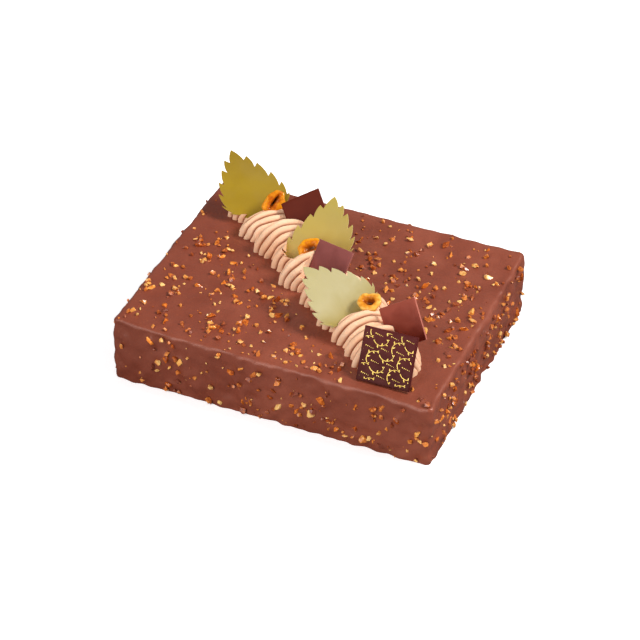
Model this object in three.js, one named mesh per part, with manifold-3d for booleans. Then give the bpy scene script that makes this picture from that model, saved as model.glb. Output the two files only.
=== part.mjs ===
// Royal chocolate cake: an uncut slab in milk chocolate and chopped nut glaze, with a diagonal
// strip of piped cream that carries leaves, hazelnut halves and thin plates of chocolate.
//
// Millimetres, +Z up. The origin is the centre of the base, +X runs along the long side and the
// front faces -Y. Every piece is one closed solid. Pieces that touch keep a gap of 0.3 mm.

import * as THREE from 'three';
import { mergeVertices } from 'three/addons/utils/BufferGeometryUtils.js';
import Module from 'manifold-3d';

const wasm = await Module();
wasm.setup();

// ---------------------------------------------------------------- driving dimensions

const gap = 0.3;
const finest = 0.05;    // detail that a fused solid may lose

const cake = {
  length: 212,
  width: 166,
  height: 45,
  edgeRadius: 3.4,
  edgeCells: 2,         // grid cells across a rounded edge
  cellSize: 22,         // spacing of the grid lines between the edges
  // The top rises to its left and back edges and drops at the front right corner, in mm, each
  // felt about as far in as its reach.
  lift: { left: 1.8, back: 1.8, edgeReach: 12, frontRight: -1.5, cornerReach: 20 },
  // Waves in and out of the walls: height in mm, and radians per millimetre each way.
  ripples: [
    { height: 0.22, x: 0.11, y: 0, z: 0.07, phase: 0.4 },
    { height: 0.22, x: 0, y: 0.13, z: -0.09, phase: 2.1 },
  ],
};

// Chips of nut stand in the glaze. Each face gets its largest ones first.
const chips = {
  seed: 20261,
  counts: { top: 104, front: 44, back: 38, right: 26, left: 22 },
  largest: 3.2,         // half length of the largest chip
  smallest: 1.3,
  sizeFall: 0.7,        // under 1, sizes fall fast at first and small chips are common
  narrowness: [0.42, 0.8],
  flatness: [0.5, 0.9],
  skew: 0.25,
  tilt: 0.25,           // radians that a chip leans either way
  stand: 0.3,           // share of a chip's half length that its centre stands out of the glaze
  roundShare: 0.5,      // share of the chips, largest first, that have twenty faces and not eight
  octahedronRadius: 1.2,
  spacing: 1.04,        // closest that two centres come, over the sum of their half lengths
  edgeMargin: 3.5,
  stripMargin: 3.2,
  tries: 40,
  density: { middle: 0.62, toRight: 0.15, toFront: 0.175 },
};

// The strip of cream has its own directions: along runs from the back left corner towards the
// front right one, across runs to the strip's right, and both start at its back left end.
const strip = {
  start: new THREE.Vector2(-88, 47.5),
  turn: THREE.MathUtils.degToRad(-38),
  middle: 15.5,         // across, from the left feet of the lobes to the middle of their arches
  // Where each lobe is highest at its left foot, its girth as a share of the lobe below, how much
  // wider its right side is, and how much taller it is.
  lobes: [
    [4, 0.86, 1, 1], [26, 1.02, 1, 0.82], [46, 1, 1, 1.12], [66, 0.88, 1, 1.15],
    [83.5, 1.1, 1, 1], [107, 0.98, 1.2, 1], [131, 1.02, 1.25, 1], [149, 1.0, 1.1, 1],
    [165, 0.98, 1, 1], [176, 1.04, 1, 1],
  ],
};

// A lobe is highest at its back, where it overlaps the lobe before, and tapers to its front.
const lobe = {
  archHalfWidth: 11,
  archHeight: 9.8,
  thickness: 9.2,       // of the cream, out from the arch, at the highest ridge
  backLength: 9.5,
  frontLength: 18,
  frontTaper: 0.42,     // share of the arch that is lost on the way to the front
  frontClosing: 0.5,    // share that is lost only at the very front, under the next lobe
  closingPower: 8,
  backTaper: 0.85,      // share that is lost on the way down to the back
  least: 1.2,           // half width and height of a lobe's ends
  slant: 9,             // how far along a lobe's right foot lies past its left one
  backRidges: 2,
  frontRidges: 6,
  ridgeDepth: 0.28,
  spread: THREE.MathUtils.degToRad(100),
  overrun: 0.3,         // radians that the arch runs on below the cake's top
  rings: 12,
  skirt: 7,
  cutAway: 30,          // how much is taken off in front of a piece that presses on a lobe
};

const leafShape = {
  length: 52,
  thickness: 1.3,
  // Distance from the tip and half width of each tooth.
  teeth: [[6.3, 6.8], [12.5, 11], [20.5, 16.2], [28.5, 19.5], [36.5, 21], [43, 19], [47.4, 12.5]],
  notch: 2.5,           // how far a notch lies inwards and, up to the widest place, rootwards
  widest: 36.5,
  turnIn: 0.14,         // how much less rootwards it lies for each millimetre past that place
  bulge: 0.8,
  rootHalfWidth: 4,
  fold: 0.05,           // rise of the halves off the midrib, per millimetre
  curl: 0.0022,         // bend along the midrib, per square millimetre
  wave: { height: 0.35, x: 0.12, y: 0.24 },
};

// Lobes are piped from the back, and presses is how many of them a piece was laid on: they end
// at it. The lobes after them were piped over its foot.
const leaves = {
  leaf_back: {
    tip: [-94.0, 67.1, 81.0], root: [-60.0, 46.6, 48.2], side: [-0.843, -0.516, -0.154],
    width: 1.07, presses: 1,
  },
  leaf_middle: {
    tip: [-11.2, 45.1, 82.0], root: [-11.7, 9.8, 47.4], side: [-0.961, -0.253, -0.11],
    width: 1.08, presses: 4,
  },
  leaf_front: {
    tip: [-5.2, -17.8, 72.3], root: [41.4, -31.2, 54.6], side: [-0.433, -0.873, -0.225],
    width: 1.03, presses: 7,
  },
};

// Half a hazelnut: a domed back, a flat rim and the hollow that its seed lobe had grown round.
const nut = {
  halfLength: 8,
  halfWidth: 6.7,
  depth: 5.6,
  lip: 0.5,             // height of the rim over the widest place
  lipRadius: 0.93,      // as a share of the outer radius, like the next one
  mouth: 0.72,          // radius of the hollow's mouth
  hollow: 3,            // depth of the hollow
  segments: 12,
  backRings: 4,
};

const nuts = {
  hazelnut_back: { centre: [-55.2, 48.8, 62.4], facing: [0.42, -0.62, 0.66], roll: 40 },
  hazelnut_middle: { centre: [-13.5, 12.9, 62.1], facing: [0.2, -0.6, 0.77], roll: 25 },
  hazelnut_front: { centre: [42.6, -26.0, 65.4], facing: [-0.1, -0.35, 0.93], roll: 10 },
};

const plateTwist = 0.5;  // of a bowed plate, as a share of its bow
const bowedCells = 3;

// A plate is given by its top left corner, the direction of its top edge and that of its left edge.
const plates = {
  chocolate_square_back: {
    corner: [-48.6, 45.8, 64.4], right: [0.8, 0.42, 0.43], down: [0.6, -0.62, -0.5],
    width: 26.5, height: 26.5, thickness: 1.5, bow: 0.35, presses: 0,
  },
  chocolate_square_middle: {
    corner: [-6.7, 12.4, 72.0], right: [0.96, -0.27, 0.06], down: [-0.13, -0.62, -0.77],
    width: 26.6, height: 26.6, thickness: 1.5, bow: 0.3, presses: 6,
  },
  chocolate_square_front: {
    corner: [51.2, -31.5, 66.5], right: [0.84, 0.1, 0.54], down: [0.5, -0.45, -0.74],
    width: 25.8, height: 26.6, thickness: 1.5, bow: 0.3, presses: 0,
  },
  chocolate_plaque: {
    corner: [52.1, -55.8, 72.1], right: [0.999, 0.045, -0.006], down: [0.07, -0.59, -0.804],
    width: 33.8, height: 33, thickness: 1.7, bow: 0, presses: 10,
  },
};

const materials = {
  glaze: new THREE.MeshStandardMaterial({ color: 0x7d4537, roughness: 0.35, metalness: 0 }),
  cream: new THREE.MeshStandardMaterial({ color: 0xe8b48c, roughness: 0.6, metalness: 0 }),
  leaf: new THREE.MeshStandardMaterial({ color: 0xc3b45c, roughness: 0.4, metalness: 0 }),
  nut: new THREE.MeshStandardMaterial({ color: 0xd98a2b, roughness: 0.35, metalness: 0 }),
  chocolate: new THREE.MeshStandardMaterial({ color: 0x5e2f24, roughness: 0.35, metalness: 0 }),
  plaque: new THREE.MeshStandardMaterial({ color: 0x4a2a35, roughness: 0.3, metalness: 0 }),
};

// ---------------------------------------------------------------- solids

function toSolid(geometry) {
  const bare = geometry.index ? geometry.toNonIndexed() : geometry.clone();
  bare.deleteAttribute('normal');
  bare.deleteAttribute('uv');
  const merged = mergeVertices(bare, 1e-4);
  return new wasm.Manifold(new wasm.Mesh({
    numProp: 3,
    vertProperties: new Float32Array(merged.attributes.position.array),
    triVerts: new Uint32Array(merged.index.array),
  }));
}

// Drops the slivers and loose scraps of a fused solid, and fills the hollows that it seals.
function largestPiece(solid) {
  const pieces = solid.simplify(finest).decompose();
  return pieces.reduce((best, piece) => (piece.volume() > best.volume() ? piece : best));
}

function toGeometry(solid) {
  const { vertProperties, triVerts } = solid.getMesh();
  const geometry = new THREE.BufferGeometry();
  geometry.setAttribute('position', new THREE.BufferAttribute(vertProperties, 3));
  geometry.setIndex(new THREE.BufferAttribute(triVerts, 1));
  geometry.computeVertexNormals();
  return geometry;
}

function moveVertices(geometry, move) {
  const position = geometry.attributes.position;
  for (let i = 0; i < position.count; i += 1) {
    const point = new THREE.Vector3().fromBufferAttribute(position, i);
    move(point);
    position.setXYZ(i, ...point.toArray());
  }
  return geometry;
}

// A repeatable stream of numbers from 0 to 1.
function randomStream(seed) {
  let state = seed >>> 0;
  return () => {
    state = (Math.imul(state, 1664525) + 1013904223) >>> 0;
    return state / 4294967296;
  };
}

// ---------------------------------------------------------------- the glazed slab

const slabHalf = new THREE.Vector3(cake.length, cake.width, cake.height).multiplyScalar(0.5);

// Lines gather in the rounded band at each end and are even between.
function gridLine(index, cells, half) {
  const band = cake.edgeRadius;
  if (index < cake.edgeCells) return -half + (band * index) / cake.edgeCells;
  if (index > cells - cake.edgeCells) return half - (band * (cells - index)) / cake.edgeCells;
  const share = (index - cake.edgeCells) / (cells - 2 * cake.edgeCells);
  return (half - band) * (2 * share - 1);
}

function liftAt(x, y) {
  const { left, back, edgeReach, frontRight, cornerReach } = cake.lift;
  const fade = (distance, reach) => Math.exp(-0.5 * (distance / reach) ** 2);
  const atLeft = left * fade(x + slabHalf.x, edgeReach);
  const atBack = back * fade(y - slabHalf.y, edgeReach);
  const atCorner = frontRight * fade(Math.hypot(x - slabHalf.x, y + slabHalf.y), cornerReach);
  return Math.max(atLeft, atBack) + atCorner;
}

// Turns a point of the plain slab, which is centred on the origin, into one of the real slab: the
// walls wave along the direction that faces out, the top rises and drops and the base comes to 0.
function settleOnSlab(point, out) {
  const wall = new THREE.Vector3(out.x, out.y, 0);
  if (wall.lengthSq() > 0) {
    const swell = cake.ripples.reduce((sum, { height, x, y, z, phase }) => (
      sum + height * Math.sin(x * point.x + y * point.y + z * point.z + phase)
    ), 0);
    point.addScaledVector(wall.normalize(), swell);
  }
  point.z += slabHalf.z;
  point.z += (point.z / cake.height) * liftAt(point.x, point.y);
}

function slabGeometry() {
  const cellsAlong = (half) => 2 * cake.edgeCells + Math.round((2 * half) / cake.cellSize);
  const cells = slabHalf.toArray().map(cellsAlong);
  const inner = slabHalf.clone().subScalar(cake.edgeRadius);
  const geometry = new THREE.BoxGeometry(2, 2, 2, ...cells);
  return moveVertices(geometry, (point) => {
    point.set(...point.toArray().map((share, axis) => {
      const index = Math.round(((share + 1) / 2) * cells[axis]);
      return gridLine(index, cells[axis], slabHalf.getComponent(axis));
    }));
    const core = point.clone().clamp(inner.clone().negate(), inner);
    if (point.z < -inner.z) core.z = point.z;
    const out = point.clone().sub(core);
    if (out.lengthSq() > 0) out.setLength(cake.edgeRadius);
    point.copy(core).add(out);
    settleOnSlab(point, out);
  });
}

// ---------------------------------------------------------------- chopped nut chips

const faces = {
  top: { out: [0, 0, 1], right: [1, 0, 0], up: [0, 1, 0] },
  front: { out: [0, -1, 0], right: [1, 0, 0], up: [0, 0, 1] },
  back: { out: [0, 1, 0], right: [-1, 0, 0], up: [0, 0, 1] },
  right: { out: [1, 0, 0], right: [0, 1, 0], up: [0, 0, 1] },
  left: { out: [-1, 0, 0], right: [0, -1, 0], up: [0, 0, 1] },
};

function toStrip(x, y) {
  const offset = new THREE.Vector2(x, y).sub(strip.start).rotateAround(new THREE.Vector2(), -strip.turn);
  return { along: offset.x, across: offset.y };
}

function underStrip(x, y, margin) {
  const { along, across } = toStrip(x, y);
  const [first] = strip.lobes[0];
  const [last] = strip.lobes[strip.lobes.length - 1];
  const halfWidth = lobe.archHalfWidth + lobe.thickness + margin;
  const start = first - lobe.backLength - margin;
  const end = last + lobe.slant + lobe.frontLength + margin;
  return along > start && along < end && Math.abs(across - strip.middle) < halfWidth;
}

// The plaque stands on the cake, so no chip lies under its lower edge.
function underPlaque(x, y, margin) {
  const { corner, down, height, width } = plates.chocolate_plaque;
  const footX = corner[0] + down[0] * height;
  const footY = corner[1] + down[1] * height;
  return x > footX - margin && x < footX + width + margin && Math.abs(y - footY) < margin;
}

// The glaze carries more nut towards the front right.
function chipDensity(x, y) {
  const { middle, toRight, toFront } = chips.density;
  return middle + (toRight * x) / slabHalf.x - (toFront * y) / slabHalf.y;
}

function chipGeometry(random, radius, round) {
  const between = ([low, high]) => low + (high - low) * random();
  const either = (size) => size * (2 * random() - 1);
  const shape = round
    ? new THREE.IcosahedronGeometry(1, 0)
    : new THREE.OctahedronGeometry(chips.octahedronRadius, 0);
  const scale = new THREE.Vector3(1, between(chips.narrowness), between(chips.flatness));
  const turn = new THREE.Euler(either(chips.tilt), either(chips.tilt), either(Math.PI));
  const skew = either(chips.skew);
  return moveVertices(shape, (point) => {
    point.x += skew * point.y * point.y;
    point.multiply(scale).applyEuler(turn).multiplyScalar(radius);
  });
}

// A free place on a face, or nothing after too many tries.
function findSpot(face, radius, taken, random) {
  const [out, right, up] = [face.out, face.right, face.up].map((v) => new THREE.Vector3(...v));
  const sizeAlong = (v) => 2 * (Math.abs(slabHalf.dot(v)) - chips.edgeMargin - radius);
  for (let attempt = 0; attempt < chips.tries; attempt += 1) {
    const spot = slabHalf.clone().multiply(out);
    spot.addScaledVector(right, (random() - 0.5) * sizeAlong(right));
    spot.addScaledVector(up, (random() - 0.5) * sizeAlong(up));
    const wanted = random() < chipDensity(spot.x, spot.y);
    settleOnSlab(spot, out);
    const margin = radius + chips.stripMargin;
    const covered = out.z > 0 && (underStrip(spot.x, spot.y, margin) || underPlaque(spot.x, spot.y, margin));
    const crowded = taken.some((other) => (
      other.spot.distanceTo(spot) < (other.radius + radius) * chips.spacing
    ));
    if (wanted && !covered && !crowded) return spot;
  }
  return null;
}

function chipsOn(face, count, random) {
  const out = new THREE.Vector3(...face.out);
  const stand = new THREE.Quaternion().setFromUnitVectors(new THREE.Vector3(0, 0, 1), out);
  const taken = [];
  const solids = [];
  for (let i = 0; i < count; i += 1) {
    const share = i / count;
    const radius = chips.largest + (chips.smallest - chips.largest) * share ** chips.sizeFall;
    const spot = findSpot(face, radius, taken, random);
    if (spot) {
      taken.push({ spot, radius });
      const shape = chipGeometry(random, radius, share < chips.roundShare).applyQuaternion(stand);
      const centre = spot.clone().addScaledVector(out, chips.stand * radius);
      solids.push(toSolid(shape.translate(...centre.toArray())));
    }
  }
  return solids;
}

function glazedSlab() {
  const random = randomStream(chips.seed);
  const solids = Object.entries(chips.counts).flatMap(([name, count]) => chipsOn(faces[name], count, random));
  return largestPiece(toSolid(slabGeometry()).add(wasm.Manifold.union(solids)));
}

// ---------------------------------------------------------------- decorations

// A flat piece is drawn in its own x and y, and then put up on the cream.
function frameOf(origin, xDirection, yDirection) {
  const x = new THREE.Vector3(...xDirection).normalize();
  const y = new THREE.Vector3(...yDirection).normalize();
  const z = x.clone().cross(y).normalize();
  return new THREE.Matrix4().makeBasis(x, y, z).setPosition(...origin);
}

// The notch that sets a tooth off from the edge before it, so that the tooth points to the tip.
function leafNotch([distance, halfWidth], width) {
  const lean = 1 - leafShape.turnIn * Math.max(0, distance - leafShape.widest);
  return new THREE.Vector2((halfWidth - leafShape.notch) * width, distance + lean * leafShape.notch);
}

// One half of a leaf in a plane, x to the side and y from the tip to the root, with the edge
// bellied out from each tooth to the next notch.
function leafHalf(width, grow) {
  const tip = new THREE.Vector2(0, 0);
  const rows = leafShape.teeth.map((row) => ({
    notch: leafNotch(row, width),
    tooth: new THREE.Vector2(row[1] * width, row[0]),
  }));
  rows.push({ notch: new THREE.Vector2(leafShape.rootHalfWidth * width, leafShape.length) });
  const triangles = [];
  const edge = [tip];
  let last = { rib: tip, notch: tip, tooth: tip };
  for (const { notch, tooth } of rows) {
    const rib = new THREE.Vector2(0, notch.y);
    const belly = last.tooth.clone().add(notch).multiplyScalar(0.5);
    belly.x += leafShape.bulge;
    if (last.tooth !== tip) triangles.push([last.notch, last.tooth, belly], [last.rib, last.notch, belly]);
    triangles.push([last.rib, belly, notch], [last.rib, notch, rib]);
    edge.push(belly, notch, tooth ?? rib);
    last = { rib, notch, tooth };
  }
  growEdge(edge, grow);
  return { triangles, edge };
}

// Moves an edge outwards, with its corners kept sharp. Its two ends lie on the line that halves it.
function growEdge(edge, grow) {
  const mirrored = (p) => new THREE.Vector2(-p.x, p.y);
  const chain = [mirrored(edge[1]), ...edge, mirrored(edge[edge.length - 2])];
  const normals = chain.slice(1).map((p, i) => {
    const run = p.clone().sub(chain[i]).normalize();
    return new THREE.Vector2(run.y, -run.x);
  });
  edge.forEach((point, i) => {
    const [before, after] = [normals[i], normals[i + 1]];
    point.addScaledVector(before.clone().add(after), grow / (1 + before.dot(after)));
  });
}

function leafRise(x, y) {
  const { fold, curl, wave, length } = leafShape;
  return fold * Math.abs(x) - curl * (y - length / 2) ** 2 + wave.height * Math.sin(wave.y * y + wave.x * x);
}

// A piece is grown all round to cut room for itself, and raised to take away what is over it.
function leafGeometry({ tip, root, side, width }, grow = 0, raise = 0) {
  const halfThickness = leafShape.thickness / 2 + grow;
  const along = new THREE.Vector3(...root).sub(new THREE.Vector3(...tip));
  const stretch = along.length() / leafShape.length;
  const { triangles, edge } = leafHalf(width, grow);
  const skin = [];
  for (const mirror of [1, -1]) {
    const lift = (p, sign) => {
      const z = leafRise(mirror * p.x, p.y) + sign * halfThickness + (sign > 0 ? raise : 0);
      return new THREE.Vector3(mirror * p.x, p.y * stretch, z);
    };
    const addFace = (corners) => skin.push(...(mirror > 0 ? corners : corners.reverse()));
    for (const [a, b, c] of triangles) {
      addFace([lift(a, 1), lift(b, 1), lift(c, 1)]);
      addFace([lift(a, -1), lift(c, -1), lift(b, -1)]);
    }
    for (let i = 1; i < edge.length; i += 1) {
      const [a, b] = [edge[i - 1], edge[i]];
      addFace([lift(b, 1), lift(a, 1), lift(a, -1)]);
      addFace([lift(b, 1), lift(a, -1), lift(b, -1)]);
    }
  }
  const geometry = new THREE.BufferGeometry().setFromPoints(skin);
  return mergeVertices(geometry, 1e-3).applyMatrix4(frameOf(tip, side, along.toArray()));
}

function plateGeometry({ corner, right, down, width, height, thickness, bow }, grow = 0, raise = 0) {
  const sizes = [width, height, thickness].map((size) => size + 2 * grow);
  const cells = bow > 0 ? bowedCells : 1;
  const geometry = new THREE.BoxGeometry(...sizes, cells, cells, 1);
  moveVertices(geometry, (point) => {
    const x = (2 * point.x) / width;
    const y = (2 * point.y) / height;
    point.z += bow * (1 - x * x - plateTwist * x * y) + (point.z > 0 ? raise : 0);
  });
  const place = frameOf(corner, right, new THREE.Vector3(...down).negate().toArray());
  geometry.translate(width / 2, -height / 2, 0);
  return geometry.applyMatrix4(place);
}

// The profile runs from the middle of the domed back, over the rim and into the hollow. It is 1
// wide, and the room that a nut needs has no hollow.
function nutProfile(grow) {
  const profile = [];
  for (let i = 0; i <= nut.backRings; i += 1) {
    const angle = (Math.PI / 2) * (i / nut.backRings);
    profile.push(new THREE.Vector2(Math.sin(angle), -(nut.depth + grow) * Math.cos(angle)));
  }
  profile.push(new THREE.Vector2(nut.lipRadius, nut.lip + grow));
  if (grow > 0) {
    profile.push(new THREE.Vector2(0, nut.lip + grow));
  } else {
    profile.push(new THREE.Vector2(nut.mouth, nut.lip / 2));
    profile.push(new THREE.Vector2(nut.mouth / 2, -0.7 * nut.hollow));
    profile.push(new THREE.Vector2(0, -nut.hollow));
  }
  return profile;
}

function nutGeometry({ centre, facing, roll }, grow = 0) {
  const geometry = new THREE.LatheGeometry(nutProfile(grow), nut.segments);
  geometry.rotateX(Math.PI / 2);
  geometry.scale(nut.halfLength + grow, nut.halfWidth + grow, 1);
  geometry.rotateZ(THREE.MathUtils.degToRad(roll));
  const normal = new THREE.Vector3(...facing).normalize();
  const level = new THREE.Vector3(0, 0, 1).cross(normal).normalize();
  const place = new THREE.Matrix4().makeBasis(level, normal.clone().cross(level), normal);
  return geometry.applyMatrix4(place.setPosition(...centre));
}

// ---------------------------------------------------------------- piped cream

function stripPoint(along, across, z) {
  const flat = new THREE.Vector2(along, across).rotateAround(new THREE.Vector2(), strip.turn);
  flat.add(strip.start);
  return new THREE.Vector3(flat.x, flat.y, z);
}

// What is left of a lobe's arch at an angle from its highest ridge, towards the front if over 0.
function lobeNarrowing(angle) {
  if (angle < 0) return 1 - lobe.backTaper * (1 - Math.cos(angle));
  const front = Math.sin(angle);
  return 1 - lobe.frontTaper * front - lobe.frontClosing * front ** lobe.closingPower;
}

// A point of a lobe's ridged skin: arch runs over the strip, turn runs from the lobe's back (-1)
// over its highest ridge (0) to its front (1), and ridge is how far out of its groove it is.
function lobePoint([station, girth, rightShare, heightShare], arch, turn, ridge) {
  const angle = turn * lobe.spread;
  const length = turn < 0 ? lobe.backLength : lobe.frontLength;
  const narrowing = lobeNarrowing(angle);
  const reach = lobe.thickness * (Math.cos(angle) - lobe.ridgeDepth * (1 - ridge));
  const along = station + lobe.slant * (arch / Math.PI) + length * Math.sin(angle);
  const aside = Math.cos(arch) * (Math.cos(arch) < 0 ? rightShare : 1);
  const halfWidth = Math.max(lobe.least, lobe.archHalfWidth * narrowing + reach);
  const height = Math.max(lobe.least, lobe.archHeight * narrowing + reach);
  const across = strip.middle - girth * aside * halfWidth;
  const up = girth * heightShare * Math.sin(arch) * height;
  return stripPoint(along, across, cake.height + up);
}

// Turns of the section's corners, from groove to ridge to groove.
function sectionTurns() {
  const turns = [];
  for (let i = -2 * lobe.backRidges - 1; i <= 2 * lobe.frontRidges + 1; i += 1) {
    const share = i < 0 ? i / (2 * lobe.backRidges + 1) : i / (2 * lobe.frontRidges + 1);
    turns.push({ turn: share, ridge: i % 2 === 0 ? 1 : 0 });
  }
  return turns;
}

function lobeGeometry(sizes) {
  const section = sectionTurns();
  const size = section.length + 2;
  const bottom = cake.height - lobe.skirt;
  const points = [];
  for (let i = 0; i <= lobe.rings; i += 1) {
    const arch = -lobe.overrun + (Math.PI + 2 * lobe.overrun) * (i / lobe.rings);
    const ring = section.map(({ turn, ridge }) => lobePoint(sizes, arch, turn, ridge));
    const [first, last] = [ring[0], ring[ring.length - 1]];
    ring.push(new THREE.Vector3(last.x, last.y, bottom), new THREE.Vector3(first.x, first.y, bottom));
    points.push(...ring);
  }
  const triangles = [];
  for (let i = 0; i < lobe.rings; i += 1) {
    for (let j = 0; j < size; j += 1) {
      const k = (j + 1) % size;
      const [a, b, c, d] = [i * size + j, i * size + k, (i + 1) * size + k, (i + 1) * size + j];
      triangles.push([a, b, c], [a, c, d]);
    }
  }
  const lastRing = lobe.rings * size;
  for (let j = 1; j < size - 1; j += 1) {
    triangles.push([0, j + 1, j], [lastRing, lastRing + j, lastRing + j + 1]);
  }
  return new THREE.BufferGeometry().setFromPoints(points).setIndex(triangles.flat());
}

function roomUnderCream() {
  return toSolid(slabGeometry().translate(0, 0, gap));
}

// What a lobe leaves free for the pieces on it. Numbered from the back, from 0.
function roomOverLobe(number) {
  const raiseFor = (piece) => (number < piece.presses ? lobe.cutAway : 0);
  return wasm.Manifold.union([
    ...Object.values(leaves).map((leaf) => toSolid(leafGeometry(leaf, gap, raiseFor(leaf)))),
    ...Object.values(plates).map((plate) => toSolid(plateGeometry(plate, gap, raiseFor(plate)))),
    ...Object.values(nuts).map((half) => toSolid(nutGeometry(half, gap))),
  ]);
}

function pipedCream() {
  const lobes = strip.lobes.map((sizes, number) => (
    toSolid(lobeGeometry(sizes)).subtract(roomOverLobe(number))
  ));
  return largestPiece(wasm.Manifold.union(lobes).subtract(roomUnderCream()));
}

// ---------------------------------------------------------------- the whole cake

const royalCake = new THREE.Group();

function addPiece(name, geometry, material) {
  const mesh = new THREE.Mesh(geometry, material);
  mesh.name = name;
  royalCake.add(mesh);
}

addPiece('cake', toGeometry(glazedSlab()), materials.glaze);
addPiece('piped_cream', toGeometry(pipedCream()), materials.cream);
for (const [name, leaf] of Object.entries(leaves)) addPiece(name, leafGeometry(leaf), materials.leaf);
for (const [name, half] of Object.entries(nuts)) addPiece(name, nutGeometry(half), materials.nut);
for (const [name, plate] of Object.entries(plates)) {
  addPiece(name, plateGeometry(plate), name === 'chocolate_plaque' ? materials.plaque : materials.chocolate);
}

export default royalCake;
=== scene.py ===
"""Royal chocolate cake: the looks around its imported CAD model.

An uncut slab in milk chocolate glaze with chopped nuts, and across it a strip of piped cream that
carries leaves, hazelnut halves, chocolate squares and a printed plaque. Sizes are in millimetres
and are the CAD model's own. A finished piece is scaled to metres, and its place is in its mesh.
"""

import math

import bmesh
import bpy
from mathutils import Matrix, Vector, kdtree, noise


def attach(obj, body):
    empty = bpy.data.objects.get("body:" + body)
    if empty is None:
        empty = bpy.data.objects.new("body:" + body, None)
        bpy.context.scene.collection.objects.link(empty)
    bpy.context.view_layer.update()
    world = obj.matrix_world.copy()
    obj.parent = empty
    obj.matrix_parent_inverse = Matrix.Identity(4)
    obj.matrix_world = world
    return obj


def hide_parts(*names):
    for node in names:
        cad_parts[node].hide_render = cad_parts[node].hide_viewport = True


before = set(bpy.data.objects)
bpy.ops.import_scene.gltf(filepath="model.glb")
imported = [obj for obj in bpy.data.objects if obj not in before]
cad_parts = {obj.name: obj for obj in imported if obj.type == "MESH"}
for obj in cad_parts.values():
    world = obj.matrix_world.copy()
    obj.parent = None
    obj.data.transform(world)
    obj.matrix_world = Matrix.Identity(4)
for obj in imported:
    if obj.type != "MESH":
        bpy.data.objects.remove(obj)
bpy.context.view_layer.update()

# ------------------------------------------------------------------ sizes

MM = 0.001
GAP = 0.3

CAKE = {
    "length": 212,
    "width": 166,
    "height": 45,
    "edge_radius": 3.4,
    "edge_cells": 5,
    "cell": 1.05,
    # The top rises to its left and back edges and drops at the front right corner, each felt
    # about as far in as its reach.
    "lift": {"left": 1.8, "back": 1.8, "edge_reach": 12, "front_right": -1.5, "corner_reach": 20},
    # Waves in and out of the walls: height, and radians per millimetre each way.
    "ripples": (
        {"height": 0.22, "rate": Vector((0.11, 0, 0.07)), "phase": 0.4},
        {"height": 0.22, "rate": Vector((0, 0.13, -0.09)), "phase": 2.1},
    ),
}
HALF = Vector((CAKE["length"], CAKE["width"], CAKE["height"])) / 2

# Unevenness of the glaze: height, wavelength, and how much of it the flat top shows.
GLAZE_SWELL = {"height": 0.5, "wavelength": 26, "on_top": 0.6}
GLAZE_LUMPS = {"height": 1.3, "wavelength": 7.5, "on_top": 0.22}
GLAZE_RUNS = {"height": 0.9, "wavelength": 8, "stretch": 3.5}
GLAZE_COLLAR = {"height": 0.42, "reach": 1.15}
# The walls lean in towards the top: how far, and over what drop.
GLAZE_SHOULDER = {"lean": 0.5, "drop": 10}
# Painted shade: the glaze is coloured darker towards its left end: between which places, and how much
# there.
GLAZE_PAINTED_SHADE = {"all": -110, "none": 20, "share": 0.6}

CHIPS = {
    "seed": 20261,
    "counts": {"top": 104, "front": 44, "back": 38, "right": 26, "left": 22},
    "largest": 3.2,
    "smallest": 1.3,
    "size_fall": 0.7,
    "narrowness": (0.42, 0.8),
    "flatness": (0.5, 0.9),
    "skew": 0.25,
    "tilt": 0.25,
    "stand": 0.3,
    "spacing": 1.04,
    "edge_margin": 3.5,
    "strip_margin": 3.2,
    "tries": 40,
    "density": {"middle": 0.62, "to_right": 0.15, "to_front": 0.175},
}
# A chip is the hull of its corners: one near each end of its three axes, and some more.
CHIP_CORNERS = {"seed": 411, "more": 4, "jitter": 0.42, "worn": 0.1, "size": 1.32}
# The shares of chips that stand bare, and bare or half coated, and how far the glaze that was
# washed up a chip's sides leans.
CHIP_KINDS = {"seed": 97, "bare": 0.6, "half": 0.88, "wash_lean": 1.6}

CRUMBS = {
    "seed": 5113,
    "counts": {"top": 480, "front": 120, "back": 170, "right": 130, "left": 110},
    "smallest": 0.45,
    "largest": 2.1,
    "small_share": 1.5,
    "narrowness": (0.6, 1.0),
    "flatness": (0.5, 0.9),
    "spacing": 0.9,
    "edge_margin": 1.0,
    # How many lie right beside a chip, and how far off as a share of their radii.
    "beside": 0.34,
    "beside_distance": 0.8,
    # How many of those on the walls sit at the foot, and how high there, in their own radii.
    "at_foot": 0.16,
    "foot_height": (0.6, 2.6),
}

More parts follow.
